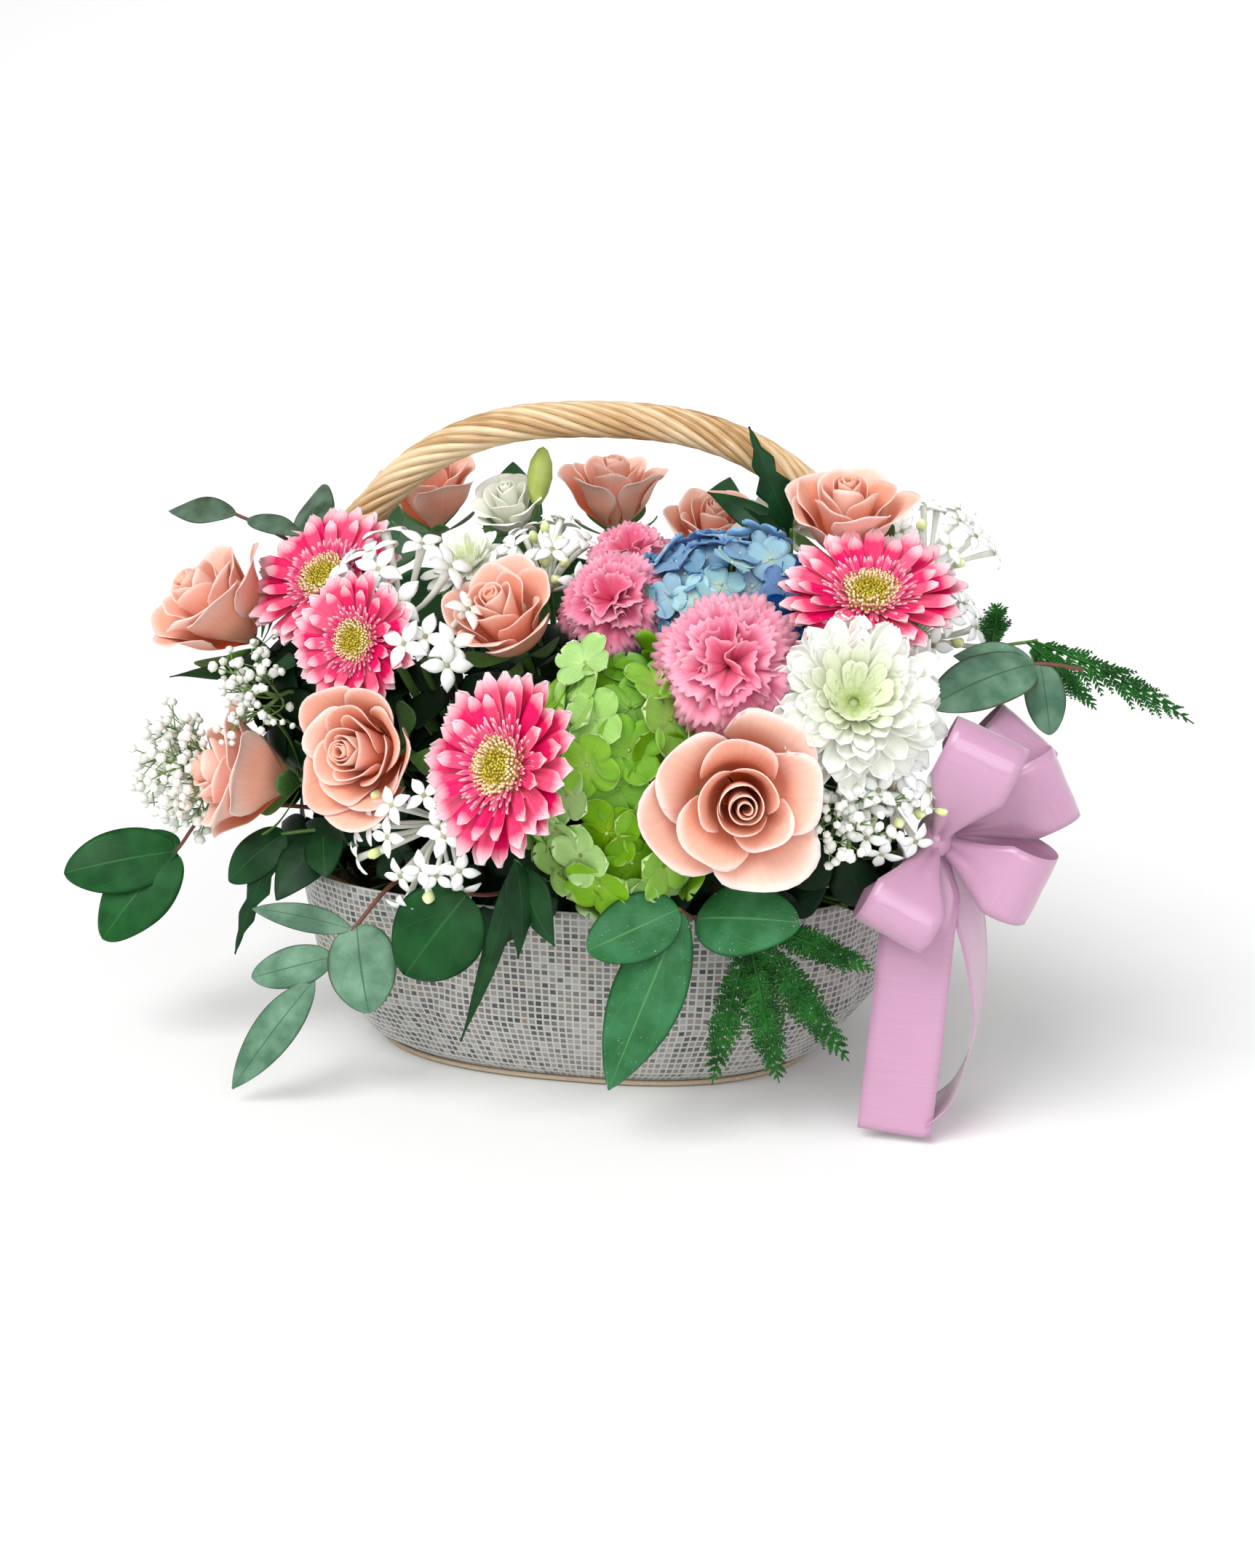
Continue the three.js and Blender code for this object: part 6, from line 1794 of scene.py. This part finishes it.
# ---- the basket ----
def oval(x: Array, y: Array, angle: Array, z: Array | float = 0.0, power: float = 2.5) -> Array:
    """Points of a rounded oval, a superellipse with half-lengths x and y, at an angle and a height."""
    c, s = np.cos(angle), np.sin(angle)
    return stacked(x * np.sign(c) * np.abs(c) ** (2 / power), y * np.sign(s) * np.abs(s) ** (2 / power), z)


@dataclass(frozen=True)
class Crease:
    """A crease in the cloth: its place round the basket in degrees, its slant, its height and its breadth."""

    centre: float
    slant: float
    height: float
    breadth: float


@dataclass(frozen=True)
class Wrap:
    """The printed cloth drawn up round the basket: a flat base, a round turn, and sides with soft creases."""

    heights: tuple[float, ...] = (0, 10, 40, 104)
    long: tuple[float, ...] = (116, 134, 157, 167)
    deep: tuple[float, ...] = (84, 96, 108, 115)
    cloth: float = 1.1
    fold_depth: float = 1.6
    folds: int = 8
    flat: tuple[float, float] = (0.388, 0.452)
    flat_share: float = 0.85
    creases: tuple[Crease, ...] = (
        Crease(-108, 0.55, 2.2, 0.05),
        Crease(-132, 0.8, 3.0, 0.07),
        Crease(-146, 0.5, 2.2, 0.05),
        Crease(-70, -0.4, 1.6, 0.05),
        Crease(-40, -0.6, 2.4, 0.07),
        Crease(-20, -0.3, 2.0, 0.05),
        Crease(20, 0.4, 2.2, 0.06),
        Crease(58, -0.5, 2.0, 0.06),
        Crease(96, 0.5, 2.2, 0.06),
        Crease(140, -0.6, 2.4, 0.07),
        Crease(172, 0.4, 2.0, 0.06),
    )

    def half(self, z: Array) -> tuple[Array, Array]:
        """The cloth's half-lengths at a height."""
        return np.interp(z, self.heights, self.long), np.interp(z, self.heights, self.deep)

    def side(self, inset: float) -> tuple[Array, Array]:
        """The cloth's side as a grid, and its map in millimetres.

        The outline at each height is a rounded oval, pushed out by a slow wave and by creases that slant across
        the side: each is a narrow ridge whose height fades towards the base.

        Args:
            inset: how far inside the cloth's outer face the grid lies.

        Returns:
            (rows, cols, 3) points and (rows, cols, 2) map.
        """
        top = self.heights[-1]
        z = np.linspace(0, top, 34)[:, None]
        angle = np.linspace(0, 2 * np.pi, 300, endpoint=False)[None, :]
        x, y = self.half(z)
        share = ease(z / 26)
        wave = self.fold_depth * (0.5 + 0.5 * np.cos(self.folds * angle)) * share
        fade = np.sin(np.pi * np.clip(z / top, 0, 1)) ** 0.7
        crease = np.zeros_like(angle + z)
        for c in self.creases:
            off = np.angle(np.exp(1j * (angle - math.radians(c.centre) - c.slant * (z / top - 0.5))))
            crease = crease + c.height * np.exp(-((off / c.breadth) ** 2)) * fade
        out = (wave - crease) * share - inset
        points = oval(x + out, y + out, angle, z + np.where(z == 0, inset * 0.9, 0))
        return points, stacked(run_of(oval(162.0, 112.0, angle[0])), z * 1.12)

    def build(self) -> None:
        """Builds the cloth as one closed shell in place of its CAD node, with its turned hem round the base."""
        outer, uv = self.side(0.0)
        inner, _ = self.side(self.cloth)
        maps = np.concatenate([np.concatenate([uv, uv[::-1]]).reshape(-1, 2), np.zeros((2, 2))])
        shell = capped(np.concatenate([outer, inner[::-1]]), [[0, 0, 0], [0, 0, self.cloth]], maps, CLOTH, 0.5)
        wrap = piece("fabric_wrap", [shell], ["fabric_wrap"])
        hem = piece("wrap_hem", [self.hem()])

    def hem(self) -> Shape:
        """A thin rolled hem that follows the turn between the base and the side."""
        x, y = self.half(np.array(4.0))
        return tubes(oval(x + 0.4, y + 0.4, np.linspace(0, 2 * np.pi, 241), 2.2)[None], 1.3, HEM, 8)


@dataclass(frozen=True)
class Handle:
    """The handle: willow canes twisted round each other along an arch, with their ends down inside the wall."""

    half_span: float = 172
    spring: float = 110
    top: float = 337.5
    leg: tuple[tuple[float, float], ...] = ((157, 196), (157, 158), (151, 112), (149, 84), (147, 40))
    canes: int = 10
    turns: float = 6
    cane_radius: float = 2.28
    twist_radius: float = 7.4
    middle_radius: float = 6.1

    def line(self) -> Array:
        """The arch's middle line: two legs and a crown that is part of a rounded oval."""
        t = mix(0.78, 0.22, np.linspace(0, 1, 13)) * np.pi
        crown = oval(self.half_span, self.top - self.spring, t)[:, [0, 2, 1]] + [0, 0, self.spring]
        leg = np.array([[x, 0, z] for x, z in self.leg])
        path = smooth_path(np.concatenate([(leg * [-1, 1, 1])[::-1], crown, leg]), 600)
        length = run_of(path)
        return sampled(np.linspace(0, length[-1], 261), length, path)

    def build(self) -> None:
        """Builds the canes in place of the CAD node: each a helix round the arch, and one down the middle."""
        line = self.line()
        t = np.linspace(0, 1, len(line))[:, None]
        along = unit(np.gradient(line, axis=0))
        aside = np.array([0.0, 1.0, 0.0])
        out = unit(np.cross(np.broadcast_to(aside, along.shape), along))
        taper = np.minimum(1, 0.5 + 4.5 * np.minimum(t, 1 - t))
        a = 2 * np.pi * (np.arange(self.canes)[:, None, None] / self.canes + self.turns * t)
        paths = line + taper * self.twist_radius * (np.cos(a) * out + np.sin(a) * aside)
        radius = np.append(np.full(self.canes, self.cane_radius), self.middle_radius)[:, None] * taper[:, 0]
        chance = np.append(np.random.default_rng(4).permutation(np.linspace(0.25, 1.0, self.canes)), 0.0)
        piece("handle", [tubes(np.concatenate([paths, line[None]]), radius, WILLOW, 12, chance)], ["handle"])


@dataclass(frozen=True)
class Basket:
    """The basket inside the cloth: willow weavers in and out of upright stakes, and a twisted border."""

    floor_z: float = 1.6
    floor: float = 4.5
    rim_z: float = 100
    stakes: int = 44
    rows: int = 20
    cane: float = 2.1
    stake: float = 1.7
    weave: float = 1.5
    strand: float = 3.0
    strand_swing: float = 2.9
    strand_turns: int = 26
    inset: float = 1.95

    def build(self, wrap: Wrap) -> None:
        """Builds stakes, weavers, floor and border in place of the CAD node.

        A weaver is an oval at its height whose radius goes in and out by a cosine, half a turn out of step with
        the row below, so that it passes behind one stake and in front of the next.
        """
        angle = np.linspace(0, 2 * np.pi, 8 * self.stakes + 1)
        row = np.arange(self.rows)[:, None]
        z = np.linspace(self.floor_z + self.floor + 2, self.rim_z - 14, self.rows)[:, None]
        x, y = wrap.half(z)
        swing = self.weave * np.cos(self.stakes / 2 * angle + np.pi * row) - self.inset - self.cane - 1.8
        weavers = oval(x + swing, y + swing, angle, z)
        t = np.linspace(self.floor_z + 3, self.rim_z - 6, 12)[None, :]
        x, y = wrap.half(t)
        a = (np.arange(self.stakes) + 0.5)[:, None] * 2 * np.pi / self.stakes
        stakes = oval(x - self.inset - 4.2, y - self.inset - 4.2, a, t)
        shapes = [
            tubes(weavers, self.cane, WICKER, 6, np.random.default_rng(3).random(self.rows)),
            tubes(stakes, self.stake, WICKER, 6, np.linspace(0, 1, self.stakes)),
            self.border(wrap),
            self.floor_plate(wrap),
        ]
        piece("basket", shapes, ["basket"])

    def border(self, wrap: Wrap) -> Shape:
        """Three canes twisted round each other along the rim."""
        angle = np.linspace(0, 2 * np.pi, 401)
        x, y = wrap.half(np.array(self.rim_z))
        a = 2 * np.pi * np.arange(3)[:, None] / 3 + self.strand_turns * angle
        inset = self.inset + 6.6 - self.strand_swing * np.cos(a)
        paths = oval(x - inset, y - inset, angle, self.rim_z - 6.3 + self.strand_swing * np.sin(a))
        return tubes(paths, self.strand, WICKER, 8, np.array([0.2, 0.5, 0.8]))

    def floor_plate(self, wrap: Wrap) -> Shape:
        """The basket's thin floor as a closed oval plate."""
        x, y = wrap.half(np.array(self.floor_z + 3))
        px, py, _ = oval(x - 7, y - 7, np.linspace(0, 2 * np.pi, 97)[:-1]).T
        share = np.array([0.02, 0.5, 1.0, 1.0, 0.5, 0.02])[:, None]
        low, high = self.floor_z, self.floor_z + self.floor
        rings = stacked(px * share, py * share, np.repeat([low, high], 3)[:, None])
        uv = np.concatenate([rings.reshape(-1, 3)[:, :2] / 40, np.zeros((2, 2))])
        return capped(rings, [[0, 0, low], [0, 0, high]], uv, WICKER, 0.0)


# ---- the studio ----
def stand(name: str, data: Any, place: Sequence[float], target: Sequence[float]) -> bpy.types.Object:
    """Puts a camera or a light at a point, turned towards another."""
    thing = bpy.data.objects.new(name, data)
    thing.location = place
    thing.rotation_euler = (Vector(target) - thing.location).to_track_quat("-Z", "Y").to_euler()
    bpy.context.scene.collection.objects.link(thing)
    return thing


@dataclass(frozen=True)
class Studio:
    """A pale floor, soft light and the camera. Lengths are metres."""

    azimuth: float = 12
    elevation: float = 15
    distance: float = 1.05
    target: Vec = (0.016, 0.0, 0.140)
    lens: float = 43.8
    sun: float = 2.18
    fill_watts: float = 11
    sky: float = 0.43

    def sweep(self) -> None:
        """Adds the floor: a round sheet of white paper that lies flat and bends up all round into a low wall.

        Its profile is a flat run, a quarter turn and an upright, carried round the middle in steps.
        """
        bend = np.linspace(0, np.pi / 2, 20)
        radius = np.concatenate([[0.02, 1.0], 2.0 + np.sin(bend), [3.0]])[:, None]
        height = np.concatenate([[0.0, 0.0], 1 - np.cos(bend), [1.2]])[:, None]
        angle = np.linspace(0, 2 * np.pi, 96, endpoint=False)
        points = stacked(radius * np.cos(angle), radius * np.sin(angle), height).reshape(-1, 3)
        faces = [*grid_quads(len(radius), len(angle), closed=True).tolist(), list(range(len(angle)))]
        mesh = bpy.data.meshes.new("paper_sweep")
        mesh.from_pydata(points.tolist(), [], faces)
        mesh.polygons.foreach_set("use_smooth", np.ones(len(faces), bool))
        paint = bpy.data.materials.new("White paper")
        paint.use_nodes = True
        inputs = {"Base Color": colour("#fbfbfb"), "Roughness": 0.95, "Specular IOR Level": 0.0}
        feed(paint.node_tree.nodes["Principled BSDF"], inputs)
        mesh.materials.append(paint)
        sweep = bpy.data.objects.new("paper_sweep", mesh)
        bpy.context.scene.collection.objects.link(sweep)

    def build(self) -> None:
        """Adds the camera, the paper, a large soft light above the front, a weak fill and a white sky."""
        scene = bpy.context.scene
        camera = bpy.data.cameras.new("camera")
        camera.lens = self.lens
        camera.sensor_width = 36
        place = np.array(self.target) + self.distance * facing(self.azimuth, self.elevation)
        scene.camera = stand("camera", camera, place, self.target)
        self.sweep()
        sun = bpy.data.lights.new("soft box", "SUN")
        sun.energy = self.sun
        sun.angle = math.radians(42)
        stand("soft box", sun, (-0.75, -1.35, 1.8), (0, 0, 0))
        fill = bpy.data.lights.new("fill light", "AREA")
        fill.size = 1.1
        fill.energy = self.fill_watts
        stand("fill light", fill, (0.6, -1.75, 0.8), (0, 0, 0.15))
        scene.world = bpy.data.worlds.new("white sky")
        scene.world.use_nodes = True
        feed(scene.world.node_tree.nodes["Background"], {0: (1, 1, 1, 1), 1: self.sky})
        scene.view_settings.view_transform = "Standard"


def dress(thing: bpy.types.Object, finish: Finish) -> None:
    """Gives a CAD node that stays in view its finish."""
    thing.data.materials.clear()
    thing.data.materials.append(finish.material())


def main() -> None:
    logging.basicConfig(level=logging.INFO, format="%(name)s: %(message)s")
    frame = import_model()
    Studio().build()
    for bloom in (*ROSES, *GERBERAS, *MUMS, *CARNATIONS, *HYDRANGEAS, *BOUVARDIAS, *GYPSOPHILAS):
        bloom.build()
    for sprig in (*SPRIGS, *(spray.sprig() for spray in BACK)):
        sprig.build()
    for filler in FILLERS:
        filler.build()
    LisianthusBud().build()
    Bow().build()
    wrap = Wrap()
    wrap.build()
    Handle().build()
    Basket().build(wrap)
    dress(frame["nodes"]["liner"], MOULDED)
    dress(frame["nodes"]["foam"], WET_FOAM)


if __name__ == "__main__":
    main()
